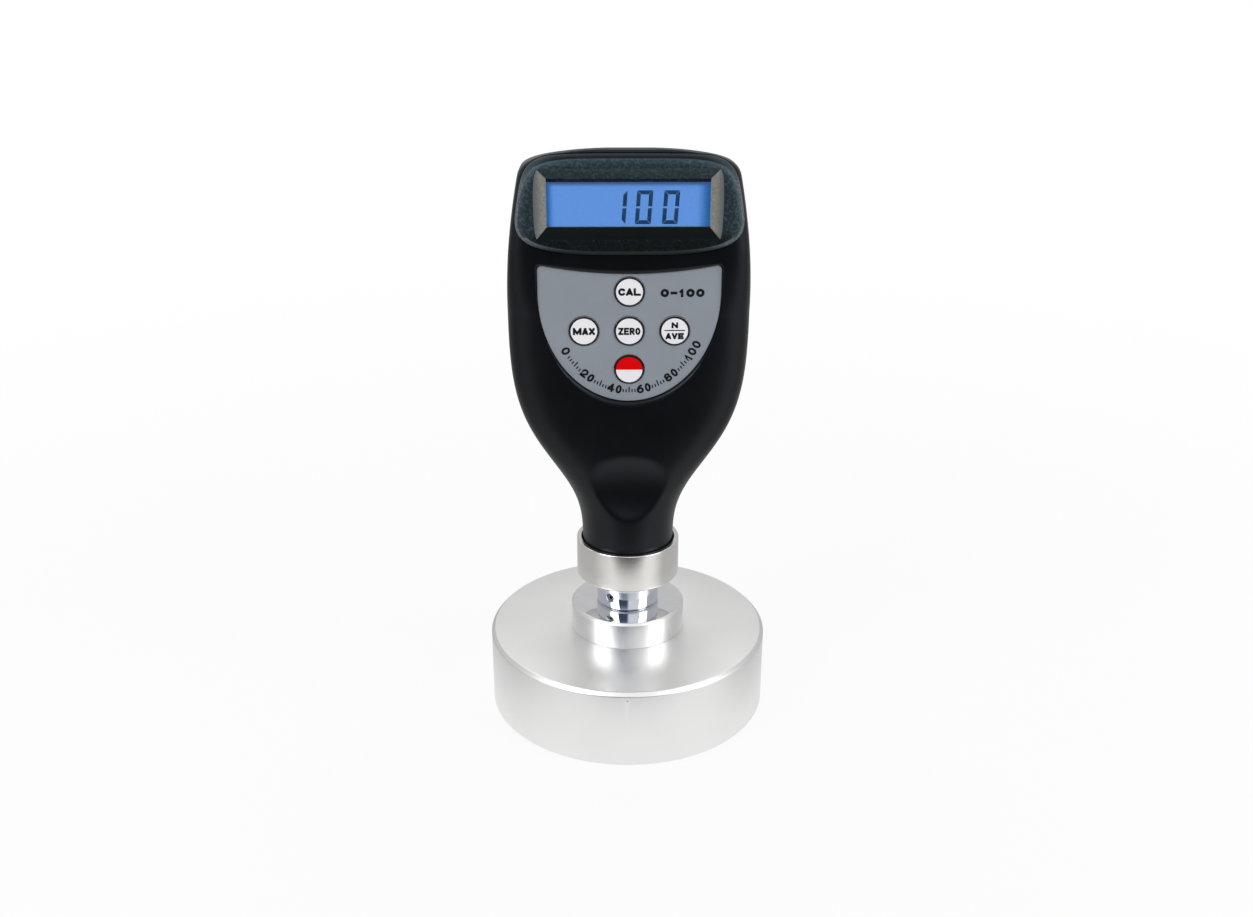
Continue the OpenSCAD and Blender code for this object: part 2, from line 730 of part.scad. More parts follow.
// Battery cover: a piece of the back wall with two tongues at its lower edge
module battery_cover() {
    grip_d = 1;
    grip_out = 0.2;
    grip_drop = 6;
    grip_pitch = 2.2;
    color("#141618") union() {
        difference() {
            intersection() {
                half_handle(0);
                translate([-cover_w / 2, cover_seat, cover_low])
                    cube([cover_w, case_back, cover_high - cover_low]);
            }
            for (k = [0:4]) translate([-scoop_w / 2, case_back + grip_out,
                cover_high - grip_drop - grip_pitch * k]) rotate([0, 90, 0])
                    cylinder(d = grip_d, h = scoop_w, $fn = 24);
        }
        for (side = [-1, 1]) translate([side * cell_pitch - tongue_w / 2, cover_seat - tongue_t,
            cover_low - tongue_reach]) cube([tongue_w, tongue_t - tongue_skin, tongue_reach + tongue_root]);
        for (side = [-1, 1]) translate([side * cell_pitch - tongue_w / 2, cover_seat - tongue_t,
            cover_low + tongue_skin]) cube([tongue_w, tongue_t + 2 * tongue_skin, tongue_root - tongue_skin]);
    }
}

// Screws that draw the case halves together from the back
module case_screws() {
    color("dimgray") for (p = case_screw_points) difference() {
        union() {
            pin_y(p, screw_d, -screw_seat, screw_reach);
            pin_y(p, screw_head_d, -screw_seat - screw_head_h, -screw_seat);
        }
        for (turn = [0, 90]) translate([p[0], screw_seat + screw_head_h, p[1]]) rotate([0, turn, 0])
            cube([screw_slot_l, 2 * screw_slot_h, screw_slot_w], center = true);
    }
}

// Corners of the display's bevel at one depth, with the share of the bevel's width that they are set out
function bevel_ring(depth, share) = [for (c = [[-1, -1], [1, -1], [1, 1], [-1, 1]])
    [c[0] * (screen_w / 2 + share * bevel_side),
        display_z + c[1] * (screen_h / 2 + share * bevel_end), depth]];

// Bezel: a pillow-edged frame with a bevelled opening and a seat behind for the window
module display_bezel() {
    depths = [for (i = [0:4]) let (a = 90 * i / 4) [bezel_face - bezel_round + bezel_round * sin(a),
        bezel_round * (1 - cos(a))]];
    color("#2b3434") difference() {
        rotate([90, 0, 0]) loft([for (d = concat([[pocket_depth, 0]], depths))
            [for (p = bezel_outline(d[1], bezel_points)) [p[0], p[1], d[0]]]]);
        facing(0, bezel_face) translate([0, display_z]) square([screen_w, screen_h], center = true);
        rotate([90, 0, 0])
            loft([bevel_ring(bezel_face - bevel_depth, 0), bevel_ring(bezel_face + cut_skin, 1)]);
        facing(0, pocket_depth + window_t) translate([0, display_z])
            square([window_w + 2 * cover_gap, window_h + 2 * cover_gap], center = true);
    }
}

// Clear window in the back of the bezel
module display_window() {
    color("lightblue", 0.4) facing(pocket_depth, pocket_depth + window_t) translate([0, display_z])
        square([window_w, window_h], center = true);
}

// Liquid crystal panel in the case's display opening
module lcd_panel() {
    color("cornflowerblue") facing(lcd_back, lcd_front) translate([0, display_z])
        square([lcd_w, lcd_h], center = true);
}

// Backlight between the panel and the board
module backlight() {
    color("white") facing(board_front, lcd_back) translate([0, display_z])
        square([connector_l, lcd_h - 4 * connector_w], center = true);
}

// Two rubber connector strips that join the panel to the board
module lcd_connectors() {
    color("pink") for (side = [-1, 1]) facing(board_front, lcd_back)
        translate([0, display_z + side * (lcd_h / 2 - connector_w)])
            square([connector_l, connector_w], center = true);
}

// Circuit board on the bosses of the front case
module main_board() {
    color("darkgreen") difference() {
        facing(board_back, board_front) translate([-board_w / 2, board_bottom])
            square([board_w, board_top - board_bottom]);
        for (p = board_screw_points) pin_y(p, board_screw_d + 4 * seat_fit, 0, board_front + over);
    }
}

// Screws that hold the board
module board_screws() {
    color("dimgray") for (p = board_screw_points) {
        pin_y(p, board_screw_d, board_back, board_screw_tip);
        pin_y(p, board_head_d, board_back - board_head_h, board_back);
    }
}

// A push switch under each button
module key_switches() {
    color("darkslategray") for (p = button_points) {
        translate([p[0] - switch_w / 2, -switch_top + switch_knob_h, p[1] - switch_w / 2])
            cube([switch_w, switch_top - switch_knob_h - board_front, switch_w]);
        pin_y(p, switch_knob_d, switch_top - switch_knob_h, switch_top);
    }
}

// Processor on the board, between the keys and the display
module processor() {
    chip_w = 9;
    chip_t = 1.4;
    color("black") facing(board_front, board_front + chip_t) translate([0, (pad_top + bezel_bottom) / 2])
        square([chip_w, chip_w / 2], center = true);
}

// Keypad panel with a round hole for each button
module keypad_panel() {
    color("#8d949b") difference() {
        facing(pad_back, pad_face) pad_outline();
        for (p = button_points) pin_y(p, button_d + 2 * button_gap, pad_back - over, pad_face + over);
    }
}

// A button: a round cap with a soft edge, a flange behind the panel and a stem to its switch
module button(at) {
    r = button_d / 2;
    face = pad_face + button_proud;
    flange = pad_back - button_slack;
    stem_end = switch_top + switch_gap + button_travel;
    soft = min(button_soft, button_proud);
    translate([at[0], 0, at[1]]) rotate([90, 0, 0]) turned([
        [0, stem_end], [button_stem_d / 2, stem_end],
        [button_stem_d / 2, flange - button_flange_t], [button_flange_d / 2, flange - button_flange_t],
        [button_flange_d / 2, flange], [r, flange], [r, face - soft], [r - 0.3 * soft, face - 0.3 * soft],
        [r - soft, face], [0, face]]);
}

module calibrate_button() { color("whitesmoke") button(calibrate_at); }
module max_button() { color("whitesmoke") button(max_at); }
module zero_button() { color("whitesmoke") button(zero_at); }
module average_button() { color("whitesmoke") button(average_at); }
module power_button() { color("red") button(power_at); }

// Centres of the cells across the bay, and which way up each one lies
cell_places = [for (k = [0:3]) [(k - 1.5) * cell_pitch, k % 2]];

// Puts a shape at each cell, turned over for every second one
module at_cells() {
    for (c = cell_places) translate([c[0], cell_y, bay_z]) mirror([0, 0, c[1]]) children();
}

// Four cells, each with its raised pole
module cells() {
    r = cell_d / 2;
    end = cell_l / 2;
    shoulder = end - pole_h;
    color("steelblue") at_cells() turned([[0, -end], [r - cell_edge, -end], [r, cell_edge - end],
        [r, shoulder - cell_edge], [r - cell_edge, shoulder], [pole_d / 2, shoulder],
        [pole_d / 2, end], [0, end]]);
}

// Coil springs at the flat ends of the cells
module cell_springs() {
    color("silver") at_cells() translate([0, 0, -cell_l / 2 - contact_room + contact_t])
        coil(cell_spring_d, cell_spring_wire, 1, contact_room - contact_t);
}

// Contact plates on the end walls of the bay
module cell_contacts() {
    color("silver") for (c = cell_places, z = [bay_low, bay_high - contact_t])
        translate([c[0] - contact_w / 2, cell_y - contact_w / 2, z]) cube([contact_w, contact_w, contact_t]);
}

pressure_foot();
foot_hub();
probe_sleeve();
sleeve_set_screw();
probe_collar();
indenter();
plunger_rod();
lower_bush();
load_spring();
spring_adjuster();
sensor_housing();
sensor_coil();
sensor_core();
front_case();
rear_case();
case_screws();
display_bezel();
display_window();
lcd_panel();
backlight();
lcd_connectors();
main_board();
board_screws();
key_switches();
processor();
keypad_panel();
calibrate_button();
max_button();
zero_button();
average_button();
power_button();
battery_cover();
cells();
cell_springs();
cell_contacts();
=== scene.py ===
import math

import bmesh
import bpy
from mathutils import Euler, Matrix, Vector


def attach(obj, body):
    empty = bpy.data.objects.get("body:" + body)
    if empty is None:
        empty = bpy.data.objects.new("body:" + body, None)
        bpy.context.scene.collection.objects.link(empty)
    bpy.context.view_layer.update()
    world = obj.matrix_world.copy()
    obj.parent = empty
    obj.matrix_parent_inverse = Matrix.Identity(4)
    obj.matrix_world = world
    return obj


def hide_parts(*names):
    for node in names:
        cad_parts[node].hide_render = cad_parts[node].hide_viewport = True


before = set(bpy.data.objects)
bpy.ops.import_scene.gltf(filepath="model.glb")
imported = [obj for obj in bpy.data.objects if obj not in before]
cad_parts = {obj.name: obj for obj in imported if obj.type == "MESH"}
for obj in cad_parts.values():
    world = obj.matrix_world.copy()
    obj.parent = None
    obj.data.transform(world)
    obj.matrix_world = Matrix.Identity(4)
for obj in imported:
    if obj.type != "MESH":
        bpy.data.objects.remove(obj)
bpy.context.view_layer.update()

MM = 0.001


# Shader maths

class Value:
    """A shader socket. Arithmetic on it adds Math nodes, and node() adds any other kind."""

    def __init__(self, tree, socket=None):
        self.tree, self.socket = tree, socket

    def node(self, kind, settings=None, sockets=None, out=0):
        made = self.tree.nodes.new(kind)
        for name, value in (settings or {}).items():
            setattr(made, name, value)
        for key, value in (sockets or {}).items():
            if isinstance(value, Value):
                self.tree.links.new(value.socket, made.inputs[key])
            else:
                made.inputs[key].default_value = value
        return Value(self.tree, made.outputs[out])

    def outputs(self):
        """All the outputs of the node that this value comes from, by name."""
        return {socket.name: Value(self.tree, socket) for socket in self.socket.node.outputs}

    def math(self, operation, first, second=0.0):
        return self.node("ShaderNodeMath", {"operation": operation}, {0: first, 1: second})

    def __add__(self, other):
        return self.math("ADD", self, other)

    def __sub__(self, other):
        return self.math("SUBTRACT", self, other)

    def __rsub__(self, other):
        return self.math("SUBTRACT", other, self)

    def __mul__(self, other):
        return self.math("MULTIPLY", self, other)

    def __truediv__(self, other):
        return self.math("DIVIDE", self, other)

    def __pow__(self, other):
        return self.math("POWER", self, other)

    def __mod__(self, other):
        return self.math("FLOORED_MODULO", self, other)

    def __abs__(self):
        return self.math("ABSOLUTE", self)

    __radd__, __rmul__ = __add__, __mul__

    def wave(self):
        return self.math("SINE", self)

    def larger(self, other):
        return self.math("MAXIMUM", self, other)

    def above(self, edge):
        return self.math("GREATER_THAN", self, edge)

    def between(self, low, high):
        """0 up to low, 1 from high on, and smooth between them."""
        return self.node("ShaderNodeMapRange", {"interpolation_type": "SMOOTHSTEP"},
                         {"Value": self, "From Min": low, "From Max": high})

    def mix(self, first, second):
        """The first colour where this value is 0 and the second where it is 1."""
        pair = [colour if isinstance(colour, Value) else (*colour, 1) for colour in (first, second)]
        return self.node("ShaderNodeMix", {"data_type": "RGBA"}, {0: self, 6: pair[0], 7: pair[1]}, out=2)


def noise(point, scale, detail=2.0):
    """Noise from 0 to 1, with a grain of about 1 / scale millimetres."""
    return point.node("ShaderNodeTexNoise", sockets={"Vector": point, "Scale": scale, "Detail": detail})


def stretched(point, scale):
    return point.node("ShaderNodeVectorMath", {"operation": "MULTIPLY"}, {0: point, 1: scale})


def bump(height, strength, distance):
    return height.node("ShaderNodeBump", sockets={
        "Strength": strength, "Distance": distance * MM, "Height": height})


def empty_tree(owner):
    """The node tree of a material or of the world, with nothing in it."""
    owner.use_nodes = True
    owner.node_tree.nodes.clear()
    return owner.node_tree


def shader_ends(tree, shader, kind="ShaderNodeOutputMaterial"):
    output = tree.nodes.new(kind)
    tree.links.new(shader.socket, output.inputs["Surface"])


def surface(name, build):
    """A material. build(point, x, y, z), in millimetres, gives the Principled shader's sockets."""
    material = bpy.data.materials.new(name)
    tree = empty_tree(material)
    on_object = Value(tree).node("ShaderNodeTexCoord", out=3)
    point = on_object.node("ShaderNodeVectorMath", {"operation": "SCALE"}, {0: on_object, 3: 1 / MM})
    axes = point.node("ShaderNodeSeparateXYZ", sockets={0: point}).outputs()
    shader = point.node("ShaderNodeBsdfPrincipled", sockets=build(point, axes["X"], axes["Y"], axes["Z"]))
    shader_ends(tree, shader)
    return material


# Finishes

def metal_finish(name, colour, rough, grain=0.0, lines=0.0, spread=0.06, smudge=0.35):
    """Bare metal with a fine blasted grain, turned lines round the axis and faint handling marks."""
    def build(point, x, y, z):
        marks = noise(point, smudge, 3.0)
        fine = noise(point, 6.0)
        worn = tuple(c * 0.95 for c in colour)
        height = fine * grain
        if lines:
            height = height + noise(stretched(point, (0.02, 0.02, 9.0)), 1.0) * lines
        return {"Base Color": (marks * 0.6 + fine * 0.4).between(0.3, 0.7).mix(worn, colour), "Metallic": 1.0,
                "Roughness": rough + (marks - 0.5) * spread + (fine - 0.5) * spread,
                "Normal": bump(height, 0.6, 0.02)}
    return surface(name, build)


def plastic_finish(name, colour, rough, grain_scale=5.0, grain=0.5, tint=0.12, specular=0.5):
    """Moulded plastic with a spark-eroded grain, and a slightly uneven colour."""
    def build(point, x, y, z):
        broad = noise(point, 0.12, 3.0)
        fine = noise(point, grain_scale)
        dark, light = (tuple(min(1.0, c * (1 + side * tint)) for c in colour) for side in (-1, 1))
        return {"Base Color": (broad * 0.4 + fine * 0.6).between(0.3, 0.7).mix(dark, light),
                "Roughness": rough + (broad - 0.5) * 0.12 + (fine - 0.5) * 0.1,
                "Specular IOR Level": specular, "Normal": bump(fine, grain, 0.03)}
    return surface(name, build)


def moulded_case(point, x, y, z):
    """Black case plastic with a spark-eroded grain, and a painted sheen that makes it a little paler at the neck."""
    broad, fine = noise(point, 0.12, 3.0), noise(point, 4.0)
    black = (broad * 0.4 + fine * 0.6).between(0.3, 0.7).mix((0.0016, 0.0018, 0.0026), (0.0023, 0.0026, 0.0036))
    # Painted sheen: from z 60 down to z 46 the base colour turns paler towards the neck.
    return {"Base Color": z.between(46.0, 60.0).mix((0.0075, 0.0085, 0.0115), black),
            "Roughness": 0.35 + (broad - 0.5) * 0.12 + (fine - 0.5) * 0.1, "Specular IOR Level": 0.3,
            "Specular Tint": (0.8, 0.9, 1.0, 1), "Normal": bump(fine, 0.3, 0.03)}


def flecked_slate(point, x, y, z):
    """The bezel's dark plastic with a coarse moulded grain of paler flecks, and painted shade that makes it nearly
    black below the screen.
    """
    grain = noise(point, 1.7)
    flecks = grain.between(0.46, 0.68)
    slate = flecks.mix((0.0066, 0.0132, 0.0178), (0.0280, 0.0465, 0.0570))
    # Painted shade: a nearly black copy of the slate for the strip below the screen.
    black = flecks.mix((0.0026, 0.0036, 0.0034), (0.008, 0.011, 0.0105))
    upper = z.between(139.5, 143.5)
    return {"Base Color": upper.mix(black, slate), "Roughness": 0.2 + upper * 0.24 + (grain - 0.5) * 0.2,
            "Specular IOR Level": 0.85, "Specular Tint": (0.62, 0.87, 1.0, 1),
            "Normal": bump(grain * (0.2 + upper * 0.8), 1.0, 0.1)}


def edge_painted_light(point, x, y, z):
    """The bezel's rounded edge: painted shade along the top, and a painted highlight that makes it paler round the
    sides and the bottom.
    """
    grain = noise(point, 1.7)
    # Painted highlight: the pale colour round the sides and the bottom lip.
    pale = grain.between(0.3, 0.7).mix((0.070, 0.084, 0.094), (0.165, 0.185, 0.200))
    # Painted shade: darkest along the middle of the top edge, lighter towards its corners.
    top = abs(x).between(18.0, 26.0).mix((0.0045, 0.0085, 0.0125), (0.036, 0.054, 0.064))
    ends = z.between(145.0, 150.0).mix((0.014, 0.021, 0.023), top)
    return {"Base Color": (z.between(137.3, 140.6) - z.between(152.5, 160.0)).mix(ends, pale),
            "Roughness": 0.45 + (grain - 0.5) * 0.2, "Specular IOR Level": 0.1, "Normal": bump(grain, 0.5, 0.05)}


def side_bevel(point, x, y, z):
    """Light grey down the two sides of the screen: a painted highlight standing for the sheen of the bezel's plastic,
    paler towards the screen.
    """
    fine = noise(point, 1.8)
    inner = fine.between(0.25, 0.75).mix((0.17, 0.17, 0.155), (0.275, 0.27, 0.245))
    # Painted highlight: paler near the screen and darker towards the bevel's outer edge.
    return {"Base Color": abs(x - SCREEN_X).between(BEVEL_OUT_X - 2.4, BEVEL_OUT_X).mix(inner, (0.11, 0.125, 0.125)),
            "Roughness": 0.42 + (fine - 0.5) * 0.1, "Normal": bump(fine, 0.4, 0.03)}


def red_over_white(point, x, y, z):
    """Red above the power button's middle and white below it."""
    fine = noise(point, 4.0)
    red = fine.mix((0.76, 0.0, 0.002), (0.70, 0.0, 0.002))
    white = fine.mix((0.87, 0.85, 0.89), (0.84, 0.82, 0.86))
    return {"Base Color": z.above(POWER_Z).mix(white, red), "Roughness": 0.34 + (fine - 0.5) * 0.1,
            "Specular IOR Level": 0.06, "Normal": bump(fine, 0.15, 0.02)}


def lit_crystal(point, x, y, z):
    """Blue backlit crystal panel, deeper at its two ends, with painted shadow from the bezel's top edge: a darker
    band, and a black strip above the lit part.
    """
    grain = noise(point, 7.0)
    even = grain.mix((0.107, 0.27, 0.675), (0.115, 0.283, 0.695))
    ends = x.between(16.8, 20.3).larger((0 - x).between(19.0, 21.0))
    blue = ends.mix(even, (0.014, 0.108, 0.34))
    # Painted shadow: the blue darkens just below LIT_TOP, and above it the glow is nearly black.
    lit = z.between(LIT_TOP - 1.4, LIT_TOP - 0.1).mix(blue, (0.035, 0.085, 0.21))
    return {"Base Color": (0.01, 0.02, 0.04, 1), "Roughness": 0.25 + grain * 0.05, "Emission Strength": 1.0,
            "Emission Color": z.above(LIT_TOP).mix(lit, (0.001, 0.002, 0.004))}


def clear_pane(point, x, y, z):
    return {"Base Color": (0.97, 0.99, 1.0, 1), "Transmission Weight": 1.0, "IOR": 1.2,
            "Roughness": 0.01 + noise(point, 0.2, 3.0) * 0.03}


def solder_mask(point, x, y, z):
    """Green mask with faint copper tracks under it."""
    tracks = noise(stretched(point, (0.3, 0.3, 1.4)), 0.8, 1.0)
    return {"Base Color": tracks.between(0.5, 0.55).mix((0.012, 0.09, 0.03), (0.03, 0.16, 0.055)),
            "Roughness": 0.35 + tracks * 0.15, "Normal": bump(tracks, 0.3, 0.04)}


def layered_rubber(point, x, y, z):
    """Connector strip of thin conducting and insulating layers along its length."""
    layers = ((x * 3.0) % 1.0).above(0.5)
    return {"Base Color": layers.mix((0.5, 0.3, 0.32), (0.06, 0.05, 0.05)),
            "Roughness": 0.6 + layers * 0.1, "Normal": bump(layers, 0.2, 0.02)}


def wound_wire(point, x, y, z):
    """Enamelled copper in close turns up the bobbin."""
    turns = (z * 25.0).wave()
    return {"Base Color": turns.between(-1.0, 1.0).mix((0.28, 0.08, 0.03), (0.62, 0.25, 0.1)), "Metallic": 0.8,
            "Roughness": 0.35 + turns * 0.08, "Normal": bump(turns, 0.5, 0.05)}


def shrunk_jacket(point, x, y, z):
    """A cell's printed jacket with two pale rings, and bare steel at its two ends."""
    from_middle = abs(z - CELL_Z)
    worn = noise(point, 0.5, 4.0)
    blue = worn.between(0.4, 0.7).mix((0.020, 0.075, 0.20), (0.028, 0.095, 0.24))
    ring = from_middle.between(13.4, 13.5) - from_middle.between(14.6, 14.7)
    bare = from_middle.above(CELL_BARE)
    return {"Base Color": bare.mix(ring.mix(blue, (0.62, 0.64, 0.66)), (0.6, 0.6, 0.58)), "Metallic": bare,
            "Roughness": 0.26 + worn * 0.12, "Normal": bump(worn, 0.1, 0.03)}


# Sizes and places on the object, in millimetres. They follow the CAD source, with finer edges and corners.

NECK_Z, WAIST_Z, WIDEST_Z, CROWN_Z, TOP_Z = 42.2, 52.2, 119.0, 154.3, 162.0
NECK_R, HALF_W, FRONT, BACK, WALL = 12.9, 32.25, 12.0, 14.0, 2.0
CAVITY_FRONT, CAVITY_LOW, CAVITY_TOP = 8.6, 59.2, 159.4
TOP_LEAN, LEAN_Y = 0.18, 3.5
BEZEL_Z, BEZEL_H, BEZEL_INSET, BEZEL_EDGE, BEZEL_CROWN = 149.2, 25.8, 1.1, 1.3, 3.3
POCKET, BEZEL_BACK, BEZEL_FACE = 10.0, 9.0, 14.0
SCREEN_X, SCREEN_Z, SCREEN_W, SCREEN_H = -0.36, 149.8, 41.4, 12.2
BEVEL_SIDE, BEVEL_END, BEVEL_BOW, BEVEL_DEPTH = 2.63, 3.0, 0.6, 1.3
BEVEL_OUT_X, BEVEL_OUT_Z = SCREEN_W / 2 + BEVEL_SIDE + BEVEL_BOW, SCREEN_H / 2 + BEVEL_END
LCD_FACE, LIT_TOP = 9.9, 154.6
PAD_TOP, PAD_HALF_W, PAD_BOWL, PAD_SIDE, PAD_DIP, PAD_CORNER = 133.3, 23.9, 29.6, 7.4, 2.2, 1.2
PAD_FACE, PAD_BACK = 11.0, 10.2
KEY_Z, KEY_X, KEY_STEP, KEY_R, KEY_GAP, KEY_FACE = 115.8, 11.9, 10.6, 3.9, 0.25, 11.4
POWER_Z = KEY_Z - KEY_STEP
COVER_LOW, COVER_HIGH, COVER_W, COVER_SEAT = 96.05, 146.55, 45.0, 11.6
CELL_Z, CELL_BARE = 121.3, 20.9
LCD_HOLE, WINDOW_SEAT = (47.3, 16.7), (44.3, 15.1)
BOSS_R, BOARD_BOSS_R, SCREW_R, BOARD_SCREW_R, SCREW_SEAT_R, SWITCH_WELL_R = 2.8, 2.3, 1.2, 0.95, 2.6, 5.4
UPPER_SCREW_Z, LOWER_SCREW_Z, UPPER_SCREW_IN, LOWER_SCREW_IN = 135.4, 84.05, 5.5, 8.1
BOARD_SCREW_X, BOARD_SCREW_HIGH_Z, BOARD_SCREW_LOW_Z = 20.75, 136.7, 102.8
TUBE_R, FLANGE_R, FLANGE_LOW, FLANGE_HIGH = 8.0, 10.0, 55.0, 57.5
FIT, GAP, SEAM = 0.03, 0.15, 0.22

foot_metal = metal_finish("anodised_aluminium", (0.84, 0.84, 0.835), 0.36, grain=0.5, spread=0.03, smudge=0.06)
hub_side_metal = metal_finish("satin_aluminium", (0.82, 0.82, 0.82), 0.31, grain=0.15, lines=0.3)
hub_top_metal = metal_finish("mirror_aluminium", (0.82, 0.82, 0.835), 0.05, spread=0.03)
chrome = metal_finish("chrome_plate", (0.70, 0.73, 0.79), 0.05, spread=0.04, smudge=0.5)
nickel = metal_finish("satin_nickel_plate", (0.78, 0.765, 0.74), 0.16, lines=0.4, spread=0.05)
steel = metal_finish("ground_steel", (0.52, 0.52, 0.54), 0.3, lines=0.3)
dark_steel = metal_finish("blackened_steel", (0.16, 0.16, 0.17), 0.4, grain=0.3)
brass = metal_finish("turned_brass", (0.70, 0.47, 0.18), 0.28, lines=0.4)
ferrite = metal_finish("sintered_ferrite", (0.09, 0.09, 0.1), 0.6, grain=0.8)
case_plastic = surface("case_black", moulded_case)
# Painted shade: a near-black finish that stands for shade on the bevel's lower facet.
painted_shade_step = plastic_finish("bevel_black_painted_shade", (0.0045, 0.0064, 0.0058), 0.45, 3.0, 0.5, specular=0.1)
panel_film = plastic_finish("panel_grey_film", (0.265, 0.295, 0.335), 0.48, 5.0, 0.25, tint=0.05, specular=0.4)
button_white = plastic_finish("button_white", (0.87, 0.86, 0.89), 0.34, 4.0, 0.12, tint=0.02, specular=0.3)
ink = plastic_finish("label_ink", (0.006, 0.006, 0.008), 0.5, 6.0, 0.1, specular=0.2)
segment_ink = plastic_finish("segment_navy", (0.026, 0.076, 0.170), 0.5, 6.0, 0.05, specular=0.1)
inner_plastic = plastic_finish("inner_black", (0.012, 0.012, 0.013), 0.5, 3.0, 0.3)
light_guide = plastic_finish("light_guide", (0.8, 0.8, 0.78), 0.5, 2.0, 0.2)
button_power = surface("button_red_white", red_over_white)
bezel_plastic = surface("bezel_slate", flecked_slate)
# The bezel edge's finish carries painted shade along the top and a painted highlight round the sides.
edge_plastic = surface("bezel_rubbed_edge", edge_painted_light)
# The side facets' finish is a painted highlight.
side_facet_painted_highlight = surface("bevel_grey_painted_highlight", side_bevel)
lcd_blue = surface("lcd_backlit_blue", lit_crystal)
pane = surface("clear_window", clear_pane)
board_green = surface("board_solder_mask", solder_mask)
rubber = surface("connector_layers", layered_rubber)
copper = surface("coil_winding", wound_wire)
cell_jacket = surface("cell_jacket", shrunk_jacket)

node_finishes = {
    "sleeve_set_screw": dark_steel, "indenter": hub_side_metal, "plunger_rod": steel, "lower_bush": brass,
    "load_spring": steel, "spring_adjuster": brass, "sensor_housing": inner_plastic, "sensor_coil": copper,
    "sensor_core": ferrite, "case_screws": dark_steel, "display_window": pane, "lcd_panel": lcd_blue,
    "backlight": light_guide, "lcd_connectors": rubber, "main_board": board_green, "board_screws": steel,
    "key_switches": inner_plastic, "processor": inner_plastic, "calibrate_button": button_white,
    "max_button": button_white, "zero_button": button_white, "average_button": button_white,
    "power_button": button_power, "cells": cell_jacket, "cell_springs": steel, "cell_contacts": steel}
for name, finish in node_finishes.items():
    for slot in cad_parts[name].material_slots:
        slot.material = finish


# Mesh helpers. All points are in millimetres.

def mesh_object(name, points, faces):
    mesh = bpy.data.meshes.new(name)
    mesh.from_pydata([Vector(p) * MM for p in points], [], faces)
    tidy = bmesh.new()
    tidy.from_mesh(mesh)
    bmesh.ops.recalc_face_normals(tidy, faces=tidy.faces)
    tidy.to_mesh(mesh)
    tidy.free()
    made = bpy.data.objects.new(name, mesh)
    bpy.context.collection.objects.link(made)
    return made


def skin(name, rings):
    """A closed solid through rings of the same number of points."""
    count = len(rings[0])
    last = (len(rings) - 1) * count
    faces = [list(range(count)), [last + i for i in range(count)]]
    for r in range(len(rings) - 1):
        for i in range(count):
            j = (i + 1) % count
            faces.append([r * count + i, r * count + j, (r + 1) * count + j, (r + 1) * count + i])
    return mesh_object(name, [p for ring in rings for p in ring], faces)


def softened(profile, radius, steps=4):
    """A closed outline with each corner rounded."""
    made = []
    for k, corner in enumerate(profile):
        here, before, after = Vector(corner), Vector(profile[k - 1]), Vector(profile[(k + 1) % len(profile)])
        reach = min(radius, (before - here).length * 0.45, (after - here).length * 0.45)
        start, end = here + (before - here).normalized() * reach, here + (after - here).normalized() * reach
        for s in range(steps + 1):
            t = s / steps
            made.append(tuple((1 - t) ** 2 * start + 2 * t * (1 - t) * here + t * t * end))
    return made


def turned(name, profile, steps=160, place=lambda r, c, s, h: (r * c, r * s, h)):
    """A closed profile of (radius, height) points turned round an axis."""
    count = len(profile)
    turns = [(math.cos(math.tau * k / steps), math.sin(math.tau * k / steps)) for k in range(steps)]
    points = [place(r, c, s, h) for c, s in turns for r, h in profile]
    faces = [[k * count + i, k * count + (i + 1) % count, (k + 1) % steps * count + (i + 1) % count,
              (k + 1) % steps * count + i] for k in range(steps) for i in range(count)]
    return mesh_object(name, points, faces)


def facing(name, stages):
    """A solid through stages, each an outline of (across, up) points and its depth in front of the parting line."""
    return skin(name, [[(x, -depth, z) for x, z in outline] for outline, depth in stages])


def rectangle(width, height, up, across=0.0):
    return [(across + side * width / 2, up + rise_side * height / 2)
            for side, rise_side in ((-1, -1), (1, -1), (1, 1), (-1, 1))]


def circle(across, up, radius, steps=48):
    return [(across + radius * math.cos(math.tau * k / steps), up + radius * math.sin(math.tau * k / steps))
            for k in range(steps)]


def block(name, low, high):
    (x0, y0, z0), (x1, y1, z1) = low, high
    return skin(name, [[(x0, y0, z), (x1, y0, z), (x1, y1, z), (x0, y1, z)] for z in (z0, z1)])


def across_bar(name, half_length, outline):
    """A solid along X with an outline of (depth behind the parting line, up) points."""
    return skin(name, [[(x, y, z) for y, z in outline] for x in (-half_length, half_length)])


def carve(body, tool, operation="DIFFERENCE"):
    """Cuts a solid with another, or joins or intersects them. The tool is used up."""
    cut = body.modifiers.new("carve", "BOOLEAN")
    cut.operation, cut.object, cut.solver = operation, tool, "MANIFOLD"
    result = bpy.data.meshes.new_from_object(body.evaluated_get(bpy.context.evaluated_depsgraph_get()))
    body.modifiers.clear()
    spent = (body.data, tool.data)
    body.data = result
    bpy.data.objects.remove(tool)
    for mesh in spent:
        bpy.data.meshes.remove(mesh)


def dress(piece, body, finish, nodes=(), sharp=32.0):
    """Smooths a piece, gives it its finish and body, and lets it stand for CAD nodes."""
    edit = bmesh.new()
    edit.from_mesh(piece.data)
    bmesh.ops.remove_doubles(edit, verts=edit.verts, dist=0.0005 * MM)
    bmesh.ops.dissolve_degenerate(edit, edges=edit.edges, dist=0.0005 * MM)
    for face in edit.faces:
        face.smooth = True
    for edge in edit.edges:
        edge.smooth = len(edge.link_faces) == 2 and edge.calc_face_angle() < math.radians(sharp)
    edit.to_mesh(piece.data)
    edit.free()
    piece.data.materials.clear()
    piece.data.materials.append(finish)
    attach(piece, body)
    for node in nodes:
        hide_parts(node)
    return piece


